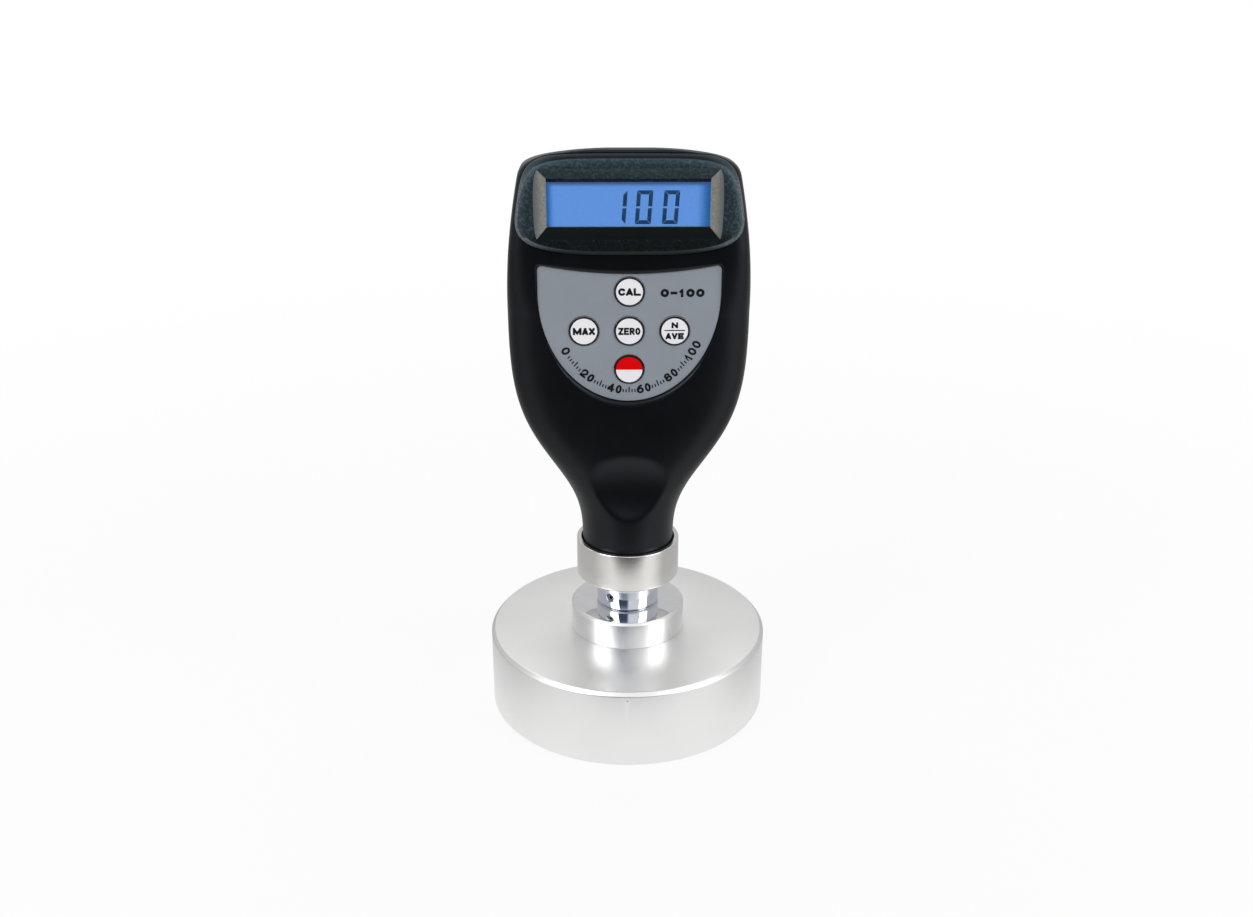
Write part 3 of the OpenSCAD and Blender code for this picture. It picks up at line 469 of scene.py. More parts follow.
def second_finish(piece, finish, where):
    """Gives another finish to the faces for which where(normal, centre in millimetres) is true."""
    piece.data.materials.append(finish)
    index = len(piece.data.materials) - 1
    for face in piece.data.polygons:
        if where(face.normal, face.center / MM):
            face.material_index = index


# Form of the handle, by the curves of the CAD source, with squarer upper corners and a shallower dimple

def flare(t):
    if t <= 0 or t >= 1:
        return 0.0 if t <= 0 else 1.0
    up, down = 2.6 * t ** 2.15, (1 - t) ** 2.15
    return up / (up + down)


def rise(z):
    return flare((z - WAIST_Z) / (WIDEST_Z - WAIST_Z))


def crown(z):
    return max(0.0, (z - WIDEST_Z) / (CROWN_Z - WIDEST_Z))


def cap(z, height, p, q):
    t = (z - TOP_Z + height) / (height * 1.01)
    return 1.0 if t <= 0 else (1 - t ** p) ** (1 / q)


def side_r(z):
    return NECK_R + (HALF_W - NECK_R) * rise(z) - 3.4 * crown(z) ** 2


def half_width(z):
    return side_r(z) * cap(z, TOP_Z - CROWN_Z, 3.45, 2.5)


def front_r(z):
    return (NECK_R + (FRONT - NECK_R) * rise(z)) * cap(z, TOP_Z - CROWN_Z, 10, 10)


def back_r(z):
    return (NECK_R + (BACK - NECK_R) * rise(z)) * cap(z, 15.0, 2, 2)


def squareness(z):
    return 2 + 2.2 * rise(z) + 3.8 * min(1.0, crown(z) * 2)


def lean(x, y, z):
    """Leans the top, which rises towards the front and falls towards the back."""
    return x, y, z - TOP_LEAN * (y + LEAN_Y) * max(0.0, z - CROWN_Z) / (TOP_Z - CROWN_Z)


def half_section(half_w, depth, e, count):
    """Points (across, depth) from one side of half a section to the other, evenly spaced along it."""
    fine, parts = [(half_w, 0.0)], 720
    for k in range(1, parts):
        c, s = math.cos(math.pi * k / parts), math.sin(math.pi * k / parts)
        fine.append((half_w * math.copysign(abs(c) ** (2 / e), c), depth * s ** (2 / e)))
    fine.append((-half_w, 0.0))
    run = [0.0]
    for (x0, d0), (x1, d1) in zip(fine, fine[1:]):
        run.append(run[-1] + math.hypot(x1 - x0, d1 - d0))
    made, k = [], 0
    for i in range(count + 1):
        want = run[-1] * i / count
        while k < len(fine) - 2 and run[k + 1] < want:
            k += 1
        t = min(1.0, (want - run[k]) / max(1e-9, run[k + 1] - run[k]))
        made.append(tuple(a + (b - a) * t for a, b in zip(fine[k], fine[k + 1])))
    return made


DIMPLE_Z, DIMPLE_UP, DIMPLE_ACROSS, DIMPLE_DEPTH, DIMPLE_RIM = 71.5, 9.3, 10.0, 2.1, 0.5
dimple_e = squareness(DIMPLE_Z)
dimple_sag = DIMPLE_DEPTH - front_r(DIMPLE_Z) * (
    1 - (1 - (DIMPLE_ACROSS / half_width(DIMPLE_Z)) ** dimple_e) ** (1 / dimple_e))
dimple_up_r = (DIMPLE_UP ** 2 + DIMPLE_DEPTH ** 2) / (2 * DIMPLE_DEPTH)
dimple_across_r = (DIMPLE_ACROSS ** 2 + dimple_sag ** 2) / (2 * dimple_sag)
dimple_y = DIMPLE_DEPTH - front_r(DIMPLE_Z) - dimple_across_r


def dimpled(x, y, z):
    """The front skin's y, pressed in by the thumb dimple, with a small round at its rim."""
    up = z - DIMPLE_Z
    if abs(up) >= dimple_up_r * 0.9:
        return y
    reach = dimple_across_r - dimple_up_r + math.sqrt(dimple_up_r ** 2 - up ** 2)
    if abs(x) >= reach:
        return y
    floor_y = dimple_y + math.sqrt(reach ** 2 - x ** 2)
    h = max(0.0, min(1.0, 0.5 + 0.5 * (floor_y - y) / DIMPLE_RIM))
    return y + (floor_y - y) * h + DIMPLE_RIM * h * (1 - h)


def steps_between(low, high, count):
    return [low + (high - low) * k / count for k in range(count)]


def rounding_up(low, high, count):
    """Heights from low to high that come closer towards the top."""
    return [low + (high - low) * math.sin(math.pi / 2 * k / count) for k in range(count + 1)]


case_rows = (steps_between(NECK_Z, WAIST_Z, 8) + steps_between(WAIST_Z, 84.0, 64) + steps_between(84.0, WIDEST_Z, 30)
             + steps_between(WIDEST_Z, CROWN_Z, 28) + rounding_up(CROWN_Z, TOP_Z, 30))
cavity_rows = (steps_between(CAVITY_LOW, WIDEST_Z, 24) + steps_between(WIDEST_Z, CROWN_Z, 12)
               + rounding_up(CROWN_Z, CAVITY_TOP, 3))


def handle_half(name, side):
    """The front (-1) or rear (+1) half of the handle's outer form, with a broken edge at the parting plane."""
    rings, near = [], 0.005
    for z in case_rows:
        depth = front_r(z) if side < 0 else back_r(z)
        half_w, steep = half_width(z), (half_width(z + near) - half_width(z - near)) / (2 * near)
        in_w, in_z = SEAM / math.hypot(1, steep), -SEAM * steep / math.hypot(1, steep)
        half = half_section(half_w, depth, squareness(z), 96)[1:-1]
        ring = [(half_w - in_w, 0.0, z - in_z), (half_w, SEAM, z)] + [(x, d, z) for x, d in half]
        ring += [(-half_w, SEAM, z), (in_w - half_w, 0.0, z - in_z)]
        rings.append(ring)
    top = rings[-1][1:-1]
    rings.append([top[0]] + top + [top[-1]])
    return skin(name, [[lean(x, dimpled(x, -d, z) if side < 0 < d else side * d, z) for x, d, z in ring]
                       for ring in rings])


def handle_cavity():
    rings = []
    for z in cavity_rows:
        half_w, e = half_width(z) - WALL, squareness(z)
        front = half_section(half_w, CAVITY_FRONT - 0.8 * (1 - rise(z)), e, 40)
        rear = half_section(half_w, back_r(z) - WALL, e, 40)
        rings.append([lean(x, d, z) for x, d in rear] + [lean(x, -d, z) for x, d in reversed(front)][1:-1])
    return skin("cavity", rings)


def neck_bores():
    tube, flange, low, high = TUBE_R + FIT, FLANGE_R + FIT, FLANGE_LOW - FIT, FLANGE_HIGH + FIT
    return skin("bores", [[(x, y, z) for x, y in circle(0, 0, radius, 64)] for radius, z in (
        (tube, NECK_Z - 1), (tube, low), (flange, low), (flange, high), (tube, high), (tube, CAVITY_LOW + 2))])


def bezel_outline(inset, count=200):
    made = []
    for k in range(count):
        c, s = math.cos(math.tau * k / count), math.sin(math.tau * k / count)
        q = 2 / (3.6 if s < 0 else 5.2)
        z = BEZEL_Z + (BEZEL_H / 2 - inset) * math.copysign(abs(s) ** q, s)
        made.append(((side_r(z) - BEZEL_INSET - inset) * math.copysign(abs(c) ** q, c), z))
    return made


def bevel_outline(share):
    """The screen's edge (0) or the top of its bevel (1), whose two sides bow outwards."""
    half_w, half_h = SCREEN_W / 2 + share * BEVEL_SIDE, SCREEN_H / 2 + share * BEVEL_END
    right = [(half_w + share * BEVEL_BOW * (1 - abs(k / 10) ** 2.6), SCREEN_Z + half_h * k / 10)
             for k in range(-10, 11)]
    return [(SCREEN_X + x, z) for x, z in right] + [(SCREEN_X - x, z) for x, z in reversed(right)]


def arc(across, up, wide, high, start, end, steps=12):
    """Points round part of an ellipse, between two angles in degrees."""
    turns = [math.radians(start + (end - start) * k / steps) for k in range(steps + 1)]
    return [(across + wide * math.cos(a), up + high * math.sin(a)) for a in turns]


def pad_outline(grow):
    """The keypad's outline: a bowl, two rounded upper corners and a dipping upper edge."""
    half, top = PAD_HALF_W + grow, PAD_TOP + grow
    corner_x, corner_z = half - PAD_CORNER, top - PAD_CORNER
    dip = [(corner_x * (1 - k / 12), top - PAD_DIP * (1 - (1 - k / 12) ** 2)) for k in range(1, 24)]
    return (arc(0, PAD_TOP - PAD_SIDE, half, PAD_BOWL + grow, 180, 360, 72)
            + arc(corner_x, corner_z, PAD_CORNER, PAD_CORNER, 0, 90, 6) + dip
            + arc(-corner_x, corner_z, PAD_CORNER, PAD_CORNER, 90, 180, 6))


def post(name, place, radius, near, far):
    """A round post or hole through the front or back, between two depths in front of the parting line."""
    return facing(name, [(circle(*place, radius), depth) for depth in (near, far)])


button_places = {"calibrate": (0, KEY_Z + KEY_STEP), "max": (-KEY_X, KEY_Z), "zero": (0, KEY_Z),
                 "average": (KEY_X, KEY_Z), "power": (0, POWER_Z)}
screw_places = [(side * x, z) for x, z in ((HALF_W - UPPER_SCREW_IN, UPPER_SCREW_Z),
                                           (half_width(LOWER_SCREW_Z) - LOWER_SCREW_IN, LOWER_SCREW_Z))
                for side in (-1, 1)]
board_screw_places = [(side * BOARD_SCREW_X, z) for side in (-1, 1) for z in (BOARD_SCREW_HIGH_Z, BOARD_SCREW_LOW_Z)]


# Front case: the keypad's seat has a rounded lip

front_case = handle_half("front_shell", -1)
carve(front_case, handle_cavity())
for place in screw_places:
    carve(front_case, post("boss", place, BOSS_R, 0.0, 9.2), "UNION")
for place in board_screw_places:
    carve(front_case, post("boss", place, BOARD_BOSS_R, 3.0, 9.2), "UNION")
carve(front_case, facing("bezel_pocket", [(bezel_outline(-GAP), depth) for depth in (POCKET, 15.0)]))
carve(front_case, facing("lcd_opening", [(rectangle(*LCD_HOLE, SCREEN_Z), depth) for depth in (7.3, 12.0)]))
carve(front_case, facing("keypad_seat", [(pad_outline(grow), depth) for grow, depth in (
    (GAP, PAD_BACK), (GAP, 11.15), (0.22, 11.4), (0.42, 11.65), (0.75, 11.85), (1.2, 11.98), (1.9, 12.1))]))
for place in button_places.values():
    carve(front_case, post("button_hole", place, SWITCH_WELL_R, 7.6, 11.0))
for place in screw_places:
    carve(front_case, post("screw_hole", place, SCREW_R + FIT, -1.0, 7.3))
for place in board_screw_places:
    carve(front_case, post("screw_hole", place, BOARD_SCREW_R + FIT, 2.0, 8.1))
carve(front_case, neck_bores())
dress(front_case, "gauge", case_plastic, ["front_case"])

# Rear case

SCOOP_Y, SCOOP_R, SCOOP_HALF = 16.6, 4.0, 7.0
TONGUE_X = 10.8


def cover_space(gap):
    return block("cover_space", (-COVER_W / 2 - gap, COVER_SEAT, COVER_LOW - gap),
                 (COVER_W / 2 + gap, 20, COVER_HIGH + gap))


rear_case = handle_half("rear_shell", 1)
carve(rear_case, handle_cavity())
for place in screw_places:
    carve(rear_case, post("boss", place, BOSS_R, -10.8, 0.0), "UNION")
bay = block("cell_bay", (-23.0, -0.4, 95.25), (23.0, COVER_SEAT, 147.35))
carve(bay, block("cell_room", (-21.8, 0.6, 96.45), (21.8, 20, 146.15)))
carve(rear_case, bay, "UNION")
carve(rear_case, cover_space(GAP))
for side in (-1, 1):
    x = side * TONGUE_X
    carve(rear_case, block("tongue_slot", (x - 2.3, 8.4, 92.65), (x + 2.3, 11.6, 97.25)))
carve(rear_case, across_bar("scoop", SCOOP_HALF, circle(SCOOP_Y, COVER_HIGH, SCOOP_R, 64)))
for place in screw_places:
    carve(rear_case, post("screw_hole", place, SCREW_R + 2 * FIT, -14.0, 1.0))
    carve(rear_case, post("screw_seat", place, SCREW_SEAT_R, -15.0, -9.0))
carve(rear_case, neck_bores())
dress(rear_case, "gauge", case_plastic, ["rear_case"])

# Battery cover with its grip grooves and two tongues

cover = handle_half("cover_plate", 1)
carve(cover, cover_space(0.0), "INTERSECT")
for k in range(5):
    carve(cover, across_bar("groove", SCOOP_HALF, circle(14.2, COVER_HIGH - 6 - 2.2 * k, 0.5, 24)))
for side in (-1, 1):
    x = side * TONGUE_X
    tongue = block("tongue", (x - 2, 10.0, 93.85), (x + 2, 11.4, 97.45))
    carve(tongue, block("root", (x - 2, 10.0, 96.25), (x + 2, 12.0, 97.45)), "UNION")
    carve(cover, tongue, "UNION")
dress(cover, "battery_door", case_plastic, ["battery_cover"])

# Bezel: a pillow-edged frame with a bevel down to the screen

def crowned(inset):
    """A ring of the bezel's front, which falls towards its edge, most at the top and least at the bottom."""
    ring = []
    for x, z in bezel_outline(inset):
        up, across = (z - BEZEL_Z) / BEZEL_H * 2, x / HALF_W
        radius = BEZEL_EDGE + 0.7 * max(0.0, -up) ** 2
        rounding = radius - math.sqrt(radius ** 2 - max(0.0, radius - inset) ** 2)
        fall = 0.01 + 0.3 * max(0.0, up) ** 2 + 0.34 * across ** 2
        ring.append((x, rounding + fall * (BEZEL_CROWN - inset) ** 2 / BEZEL_CROWN - BEZEL_FACE, z))
    return ring


edge_steps = [BEZEL_EDGE * (1 - math.cos(math.pi / 2 * k / 8)) for k in range(8)]
bezel = skin("display_frame", [[(x, -BEZEL_BACK, z) for x, z in bezel_outline(0.0)]] + [
    crowned(inset) for inset in edge_steps + steps_between(BEZEL_EDGE, BEZEL_CROWN, 10) + [BEZEL_CROWN]])
bevel_back = BEZEL_FACE - BEVEL_DEPTH
screen_edge = rectangle(SCREEN_W, SCREEN_H, SCREEN_Z, SCREEN_X)
carve(bezel, facing("screen_opening", [(screen_edge, depth) for depth in (0.0, 13.5)]))
carve(bezel, facing("bevel", [(bevel_outline(share), bevel_back + share * BEVEL_DEPTH) for share in (0.0, 1.01)]))
carve(bezel, facing("window_seat", [(rectangle(*WINDOW_SEAT, SCREEN_Z), depth) for depth in (0.0, 12.0)]))
dress(bezel, "gauge", bezel_plastic, ["display_bezel"])


def in_bevel(centre):
    return (abs(centre.x - SCREEN_X) < BEVEL_OUT_X and abs(centre.z - SCREEN_Z) < BEVEL_OUT_Z
            and bevel_back < -centre.y < BEZEL_FACE - 0.05)


def on_edge(normal, centre):
    """True on the bezel's rounded edge, which is broader along its bottom."""
    face_slope = -0.8 if centre.z > BEZEL_Z - 8 else -0.92
    return not in_bevel(centre) and face_slope < normal.y < 0.5


second_finish(bezel, edge_plastic, on_edge)
# The bevel's two side facets get the painted highlight.
second_finish(bezel, side_facet_painted_highlight, lambda n, c: in_bevel(c) and n.x * c.x < -4 and abs(n.z) < abs(n.x))
# The bevel's lower facet gets the painted shade.
second_finish(bezel, painted_shade_step, lambda n, c: in_bevel(c) and n.z > 0.2 and c.z < SCREEN_Z and abs(n.x) < 0.05)

# Keypad panel with a hole round each button

panel = facing("keypad_film", [(pad_outline(g), d) for g, d in ((0.0, PAD_BACK), (0.0, 10.9), (-0.1, PAD_FACE))])
for place in button_places.values():
    carve(panel, facing("button_hole", [(circle(*place, KEY_R + KEY_GAP, 72), depth) for depth in (9.0, 12.0)]))
dress(panel, "gauge", panel_film, ["keypad_panel"])

# Turned pieces of the foot end, with their edges just broken

foot = turned("foot_disc", softened([
    (13.0, 0), (39.5, 0), (40, 0.5), (40, 22), (39, 23), (10, 23), (10, 20), (5.03, 20), (5.03, 4.6), (13.0, 4.6)],
    0.2), 224)
carve(foot, skin("punch_mark", [[(x, -y, z) for x, z in circle(-0.85, 20.8, radius, 16)]
                                for radius, y in ((0.1, 39.5), (0.36, 40.2))]))
dress(foot, "gauge", foot_metal, ["pressure_foot"])

hub = turned("hub_boss", softened([
    (2.9, 20), (9.97, 20), (9.97, 23), (16.25, 23), (16.35, 23.1), (16.35, 30.3), (15.65, 31), (7.03, 31), (7.03, 25),
    (2.9, 25)], 0.12), 192)
dress(hub, "gauge", hub_side_metal, ["foot_hub"])
second_finish(hub, hub_top_metal, lambda n, c: n.z > 0.95 and c.z > 30.5)

sleeve = turned("chrome_sleeve", softened([
    (2.9, 25), (7, 25), (7, 31), (8.3, 31), (8.9, 31.6), (8.9, 40.2), (8, 40.2), (8, 55), (10, 55), (10, 57.5),
    (8, 57.5), (8, 60.2), (6, 60.2), (6, 28), (2.9, 28)], 0.12), 160)
screw_turn = math.radians(270 - 36)
carve(sleeve, skin("screw_hole", [[
    (r * math.cos(screw_turn) - a * math.sin(screw_turn), r * math.sin(screw_turn) + a * math.cos(screw_turn), z)
    for a, z in circle(0, 34.6, radius, 40)] for r, radius in ((3.0, 1.13), (8.45, 1.13), (9.0, 1.45), (11.0, 1.45))]))
dress(sleeve, "gauge", chrome, ["probe_sleeve"])

collar = turned("neck_collar", softened([
    (8.03, 40.2), (14.2, 40.2), (14.6, 40.6), (14.6, 51.2), (14.4, 51.4), (13.3, 51.4), (13.3, 42.2), (8.03, 42.2)],
    0.12), 160)
dress(collar, "gauge", nickel, ["probe_collar"])


# Printed marks

PRINT_T, PRINT_LIFT, LETTER_SPACE, FIGURE_SPACE = 0.03, 0.005, 0.14, 0.4
ON_KEY, ON_PANEL = KEY_FACE + PRINT_LIFT, PAD_FACE + PRINT_LIFT
bowl = arc(0.5, 0.5, 0.5, 0.5, 0, 190), arc(0.5, 0.5, 0.5, 0.5, 180, 370)
# Pen strokes of each letter in a box 1 wide and 1 high
letters = {
    "A": ([(0, 0), (0.5, 1)], [(0.5, 1), (1, 0)], [(0.2, 0.2), (0.8, 0.2)]),
    "C": (arc(0.55, 0.5, 0.55, 0.5, 45, 315),),
    "E": ([(1, 1), (0, 1), (0, 0), (1, 0)], [(0, 0.5), (0.85, 0.5)]),
    "L": ([(0, 1), (0, 0), (1, 0)],),
    "M": ([(0, 0), (0, 1)], [(0, 1), (0.5, 0.1)], [(0.5, 0.1), (1, 1)], [(1, 1), (1, 0)]),
    "N": ([(0, 0), (0, 1)], [(0, 1), (1, 0)], [(1, 0), (1, 1)]),
    "O": bowl,
    "R": ([(0, 0), (0, 1)], [(0, 1)] + arc(0.6, 0.74, 0.4, 0.26, 90, -90) + [(0, 0.48)], [(0.45, 0.48), (1, 0)]),
    "V": ([(0, 1), (0.5, 0)], [(0.5, 0), (1, 1)]),
    "X": ([(0, 0), (1, 1)], [(0, 1), (1, 0)]),
    "Z": ([(0, 1), (1, 1)], [(1, 1), (0, 0)], [(0, 0), (1, 0)]),
    "0": bowl,
    "1": ([(0.15, 0.75), (0.6, 1), (0.6, 0)],),
    "2": (arc(0.5, 0.68, 0.5, 0.32, 165, -35) + [(0, 0)], [(0, 0), (1, 0)]),
    "4": ([(0.75, 0), (0.75, 1)], [(0.75, 1), (0, 0.28)], [(0, 0.28), (1, 0.28)]),
    "6": (arc(0.5, 0.32, 0.5, 0.32, 0, 190), arc(0.5, 0.32, 0.5, 0.32, 180, 370), arc(0.95, 0.3, 0.95, 0.7, 95, 180)),
    "8": (arc(0.5, 0.27, 0.5, 0.27, 0, 190), arc(0.5, 0.27, 0.5, 0.27, 180, 370),
          arc(0.5, 0.77, 0.42, 0.23, 0, 190), arc(0.5, 0.77, 0.42, 0.23, 180, 370)),
    "-": ([(0, 0.5), (1, 0.5)],)}
letter_shares = {"M": 1.4, "0": 0.85, "1": 0.6, "-": 0.7}


def band(path, width):
    """The outline of a pen stroke along a path, mitred at its corners."""
    path = [Vector(p) for p in path]
    left, right = [], []
    for k, here in enumerate(path):
        legs = [(b - a).normalized() for a, b in zip(path[max(0, k - 1):k + 2], path[max(0, k - 1) + 1:k + 2])]
        square = Vector((-legs[0].y, legs[0].x))
        out = Vector((-(legs[0] + legs[-1]).y, (legs[0] + legs[-1]).x)).normalized()
        out *= width / 2 / max(0.55, out.dot(square))
        left.append(tuple(here + out))
        right.append(tuple(here - out))
    return left + right[::-1]


def drawn_out(path, more):
    """A path made longer at its two ends."""
    tips = [Vector(end) + (Vector(end) - Vector(inner)).normalized() * more
            for end, inner in ((path[0], path[1]), (path[-1], path[-2]))]
    return [tuple(tips[0]), *path[1:-1], tuple(tips[1])]


def print_layer(name, outlines, depth):
    """One thin solid of printed shapes, each an outline of (across, up) points."""
    solids = [facing(name, [(outline, depth), (outline, depth + PRINT_T)]) for outline in outlines]
    for other in solids[1:]:
        carve(solids[0], other, "UNION")
    return solids[0]


def printed(name, outlines, depth, body, finish):
    return dress(print_layer(name, outlines, depth), body, finish)


def lettering(name, words, across, up, width, height, pen, depth, body, space=LETTER_SPACE, turn=0.0):
    """Plain capitals and figures in one row, centred on a point and turned about it.
    Each letter's strokes run out past its box, which cuts their ends."""
    shares = [letter_shares.get(letter, 1.0) for letter in words]
    unit = (width - space * (len(words) - 1)) / sum(shares)

    def laid(points):
        return [(across + x * math.cos(turn) - z * math.sin(turn), up + x * math.sin(turn) + z * math.cos(turn))
                for x, z in points]

    row, left = None, -width / 2
    for letter, share in zip(words, shares):
        wide = unit * share
        paths = [[(left + pen / 2 + x * (wide - pen), (z - 0.5) * (height - pen)) for x, z in stroke]
                 for stroke in letters[letter]]
        made = print_layer(name, [laid(band(drawn_out(path, pen / 2), pen)) for path in paths], depth)
        edge = laid(rectangle(wide, height, 0.0, left + wide / 2))
        carve(made, facing("letter_box", [(edge, depth - 1), (edge, depth + 1)]), "INTERSECT")
        if row:
            carve(row, made, "UNION")
        row = row or made
        left += wide + space
    return dress(row, body, ink)


lettering("label_cal", "CAL", *button_places["calibrate"], 5.9, 2.0, 0.58, ON_KEY, "calibrate_key")
lettering("label_max", "MAX", *button_places["max"], 5.8, 1.95, 0.58, ON_KEY, "max_key")
lettering("label_zero", "ZERO", *button_places["zero"], 5.8, 1.95, 0.5, ON_KEY, "zero_key")
average_x, average_z = button_places["average"]
lettering("label_n", "N", average_x, average_z + 1.6, 1.7, 1.6, 0.5, ON_KEY, "average_key")
lettering("label_ave", "AVE", average_x, average_z - 1.35, 4.8, 1.7, 0.52, ON_KEY, "average_key")
printed("label_bar", [rectangle(5.4, 0.26, average_z + 0.2, average_x)], ON_KEY, "average_key", ink)
lettering("label_range", "0-100", 13.8, 126.0, 11.4, 2.2, 0.7, ON_PANEL, "gauge", FIGURE_SPACE)

# The printed ring over a button's rounded edge, as (radius, height above the button's face) points
rim = [(3.5, 0.005), (3.605, 0.005), (3.815, -0.085), (3.905, -0.3), (3.93, -0.3), (3.84, -0.07), (3.615, 0.03),
       (3.5, 0.03)]
for name, (x, z) in button_places.items():
    ring = turned(f"rim_{name}", rim, 96, lambda r, c, s, h: (x + r * c, -KEY_FACE - h, z + r * s))
    dress(ring, f"{name}_key", ink)

# A plain scale of figures and ticks round the foot of the keypad

SCALE_HALF_W, SCALE_BOWL, SCALE_SPREAD, SCALE_PARTS, TICK_W = 20.7, 26.5, 108.0, 50, 0.32


def on_scale(share, inward=0.0):
    """A point of the scale's arc, from its left end (0) to its right end (1), and its slope."""
    a = math.radians((share - 0.5) * SCALE_SPREAD - 90)
    wide, high = SCALE_HALF_W - inward, SCALE_BOWL - inward
    return (wide * math.cos(a), PAD_TOP - PAD_SIDE + high * math.sin(a),
            math.atan2(high * math.cos(a), -wide * math.sin(a)))


ticks = []
for k in range(SCALE_PARTS + 1):
    under_figures = k % 10 in (0, 1, 9) or k in (42, 48)
    if not under_figures:
        outer, inner = (on_scale(k / SCALE_PARTS, inward)[:2] for inward in (-0.7, 0.9 if k % 5 == 0 else 0.2))
        ticks.append(band([outer, inner], TICK_W))
printed("scale_ticks", ticks, ON_PANEL, "gauge", ink)
for k, words in enumerate(("0", "20", "40", "60", "80", "100")):
    x, z, slope = on_scale(k / 5)
    lettering(f"scale_{words}", words, x, z, 1.9 * len(words), 2.4, 0.56, ON_PANEL, "gauge", FIGURE_SPACE, slope)

# Figures of the display: mitred bars that lean a little

BAR_W, BAR_GAP, BAR_LEAN, FIGURE_LOW, FIGURE_HIGH = 1.02, 0.07, 0.07, 143.9, 152.5


def figure(lit, left, right):
    """The lit bars of a seven-bar figure, each an outline of (across, up) points."""
    w, g, middle, bars = BAR_W, BAR_GAP, (FIGURE_LOW + FIGURE_HIGH) / 2, {}
    for level, row, edge, way in (("top", "upper", FIGURE_HIGH, -1), ("bottom", "lower", FIGURE_LOW, 1)):
        inner = edge + way * w
        bars[level] = [(left + g, edge), (right - g, edge), (right - w - g, inner), (left + w + g, inner)]
        for hand, x, inward in (("left", left, 1), ("right", right, -1)):
            bars[f"{row}_{hand}"] = [(x, edge + way * g), (x + inward * w, inner + way * g),
                                     (x + inward * w, middle - way * 0.3), (x, middle - way * 0.18)]
    return [[(x + (z - FIGURE_LOW) * BAR_LEAN, z) for x, z in bars[name]] for name in lit]


right_bars = ("upper_right", "lower_right")
all_round = ("upper_left", "lower_left") + right_bars + ("top", "bottom")
figures = figure(right_bars, -4.8, -1.1) + figure(all_round, 1.3, 5.4) + figure(all_round, 8.2, 12.2)
printed("display_figures", figures, LCD_FACE + PRINT_LIFT, "gauge", segment_ink)


# Floor, light and camera

def ray_kinds(tree):
    """1 for rays that show the background itself, and 1 for rays that show it in a reflection."""
    rays = Value(tree).node("ShaderNodeLightPath").outputs()
    return rays["Is Camera Ray"].larger(rays["Is Transmission Ray"]), rays["Is Glossy Ray"]


def studio(axes):
    """Shares of the studio round the object: the dark side that the camera stands on, a darker opening
    in it, and the lit panels beside it. The last value is the distance from the object's axis."""
    x, y = axes["X"], axes["Y"]
    far = (x * x + y * y) ** 0.5 + 0.02
    ahead, aside = (0 - y) / far, x / far
    close = 1 - far.between(0.12, 0.22)
    return ((ahead - close * 0.07).between(0.6, 0.84), (ahead * 0.94 - aside * 0.34).between(0.885, 0.95),
            ahead.between(0.1, 0.6) * (1 - (0 - aside).between(0.3, 0.8) * 0.5), far)


floor_paper = bpy.data.materials.new("white_paper")
tree = empty_tree(floor_paper)
direct, mirrored = ray_kinds(tree)
floor_axes = direct.node("ShaderNodeSeparateXYZ", sockets={0: direct.node("ShaderNodeTexCoord", out=3)}).outputs()
front, opening, panels, far = studio(floor_axes)
shade = front.larger(opening) * far.between(0.08, 0.17)
left = (0 - floor_axes["X"] / far).between(0.2, 0.7)
shade = shade.larger((1 - panels) * (far.between(0.045, 0.12) * 0.5 + left * far.between(0.16, 0.3) * 0.2))
paper = direct.node("ShaderNodeBsdfDiffuse", sockets={"Color": (0.86, 0.86, 0.86, 1)})
white = direct.node("ShaderNodeEmission", sockets={
    "Color": (shade * mirrored * 0.94).mix((1, 1, 1), (0, 0, 0)), "Strength": 1.0})
glow = direct * (0.88 + far.between(0.08, 0.6) * 0.12) + mirrored * 0.98
shader_ends(tree, direct.node("ShaderNodeMixShader", sockets={0: glow, 1: paper, 2: white}))
bpy.ops.mesh.primitive_plane_add(size=6.0, location=(0, 0, -0.0002))
floor = bpy.context.object
floor.name = "studio_floor"
floor.data.materials.append(floor_paper)

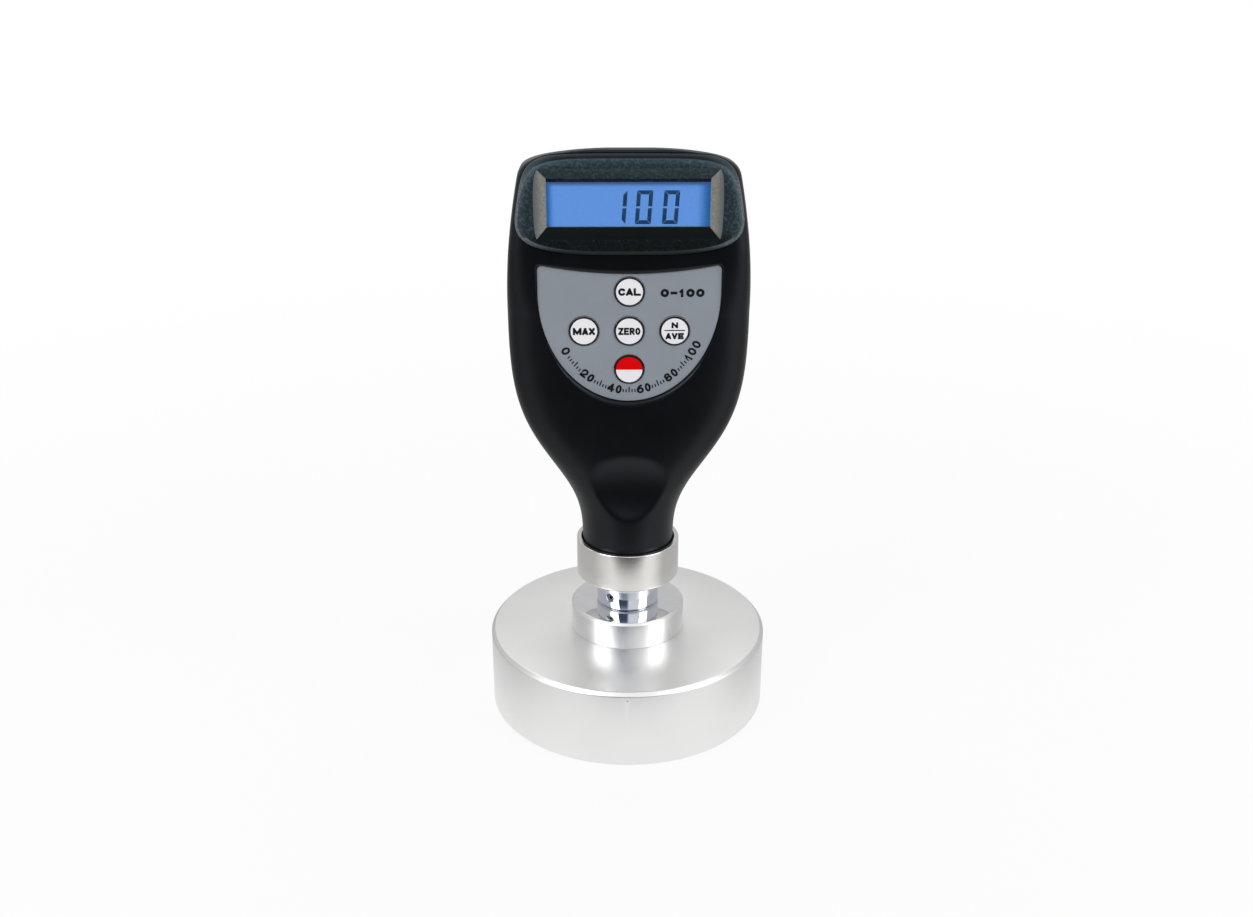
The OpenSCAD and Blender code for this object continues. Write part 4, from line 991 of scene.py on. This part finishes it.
world = bpy.data.worlds.new("studio")
bpy.context.scene.world = world
tree = empty_tree(world)
direct, mirrored = ray_kinds(tree)
sky_axes = direct.node("ShaderNodeSeparateXYZ", sockets={0: direct.node("ShaderNodeTexCoord", out=0)}).outputs()
front, opening, panels, far = studio(sky_axes)
height = sky_axes["Z"]
dark = (front * (1 - height.between(0.08, 0.34))).larger(opening * (1 - height.between(0.5, 0.75)) * 0.9)
tent = (0.61 + panels * 0.39) * (1 - dark * 0.95)
level = direct.larger(mirrored * tent).larger((1 - mirrored) * 0.4)
light = (dark * mirrored).mix((1, 1, 1), (0.45, 0.6, 1.0))
shader_ends(tree, direct.node("ShaderNodeBackground", sockets={"Color": level.mix((0, 0, 0), light)}),
            "ShaderNodeOutputWorld")


def softbox(name, at, aim, width, height, power):
    lamp = bpy.data.lights.new(name, "AREA")
    lamp.shape, lamp.size, lamp.size_y, lamp.energy = "RECTANGLE", width, height, power
    made = bpy.data.objects.new(name, lamp)
    made.location = at
    made.rotation_euler = (Vector(aim) - Vector(at)).to_track_quat("-Z", "Y").to_euler()
    bpy.context.collection.objects.link(made)


softbox("key_left", (-0.55, -0.45, 0.55), (0, 0, 0.08), 0.45, 0.6, 2.9)
softbox("fill_right", (0.6, -0.35, 0.4), (0, 0, 0.08), 0.4, 0.6, 2.0)
softbox("top_back", (0.0, 0.35, 0.75), (0, 0, 0.08), 0.7, 0.5, 2.0)

lens = bpy.data.cameras.new("photo_camera")
lens.sensor_fit, lens.sensor_width, lens.lens = "HORIZONTAL", 36.0, 38.66
lens.clip_start, lens.clip_end = 0.01, 20.0
camera = bpy.data.objects.new("photo_camera", lens)
turn, roll, look_down = math.radians(-1.2), math.radians(0.15), math.radians(22.429)
camera.location = Matrix.Rotation(turn, 3, "Z") @ Vector((-0.00042, -0.350, 0.21952))
camera.rotation_euler = (Euler((math.pi / 2 - look_down, 0, turn)).to_matrix()
                         @ Matrix.Rotation(roll, 3, "Z")).to_euler()
bpy.context.collection.objects.link(camera)
bpy.context.scene.camera = camera
bpy.context.scene.view_settings.view_transform = "Standard"
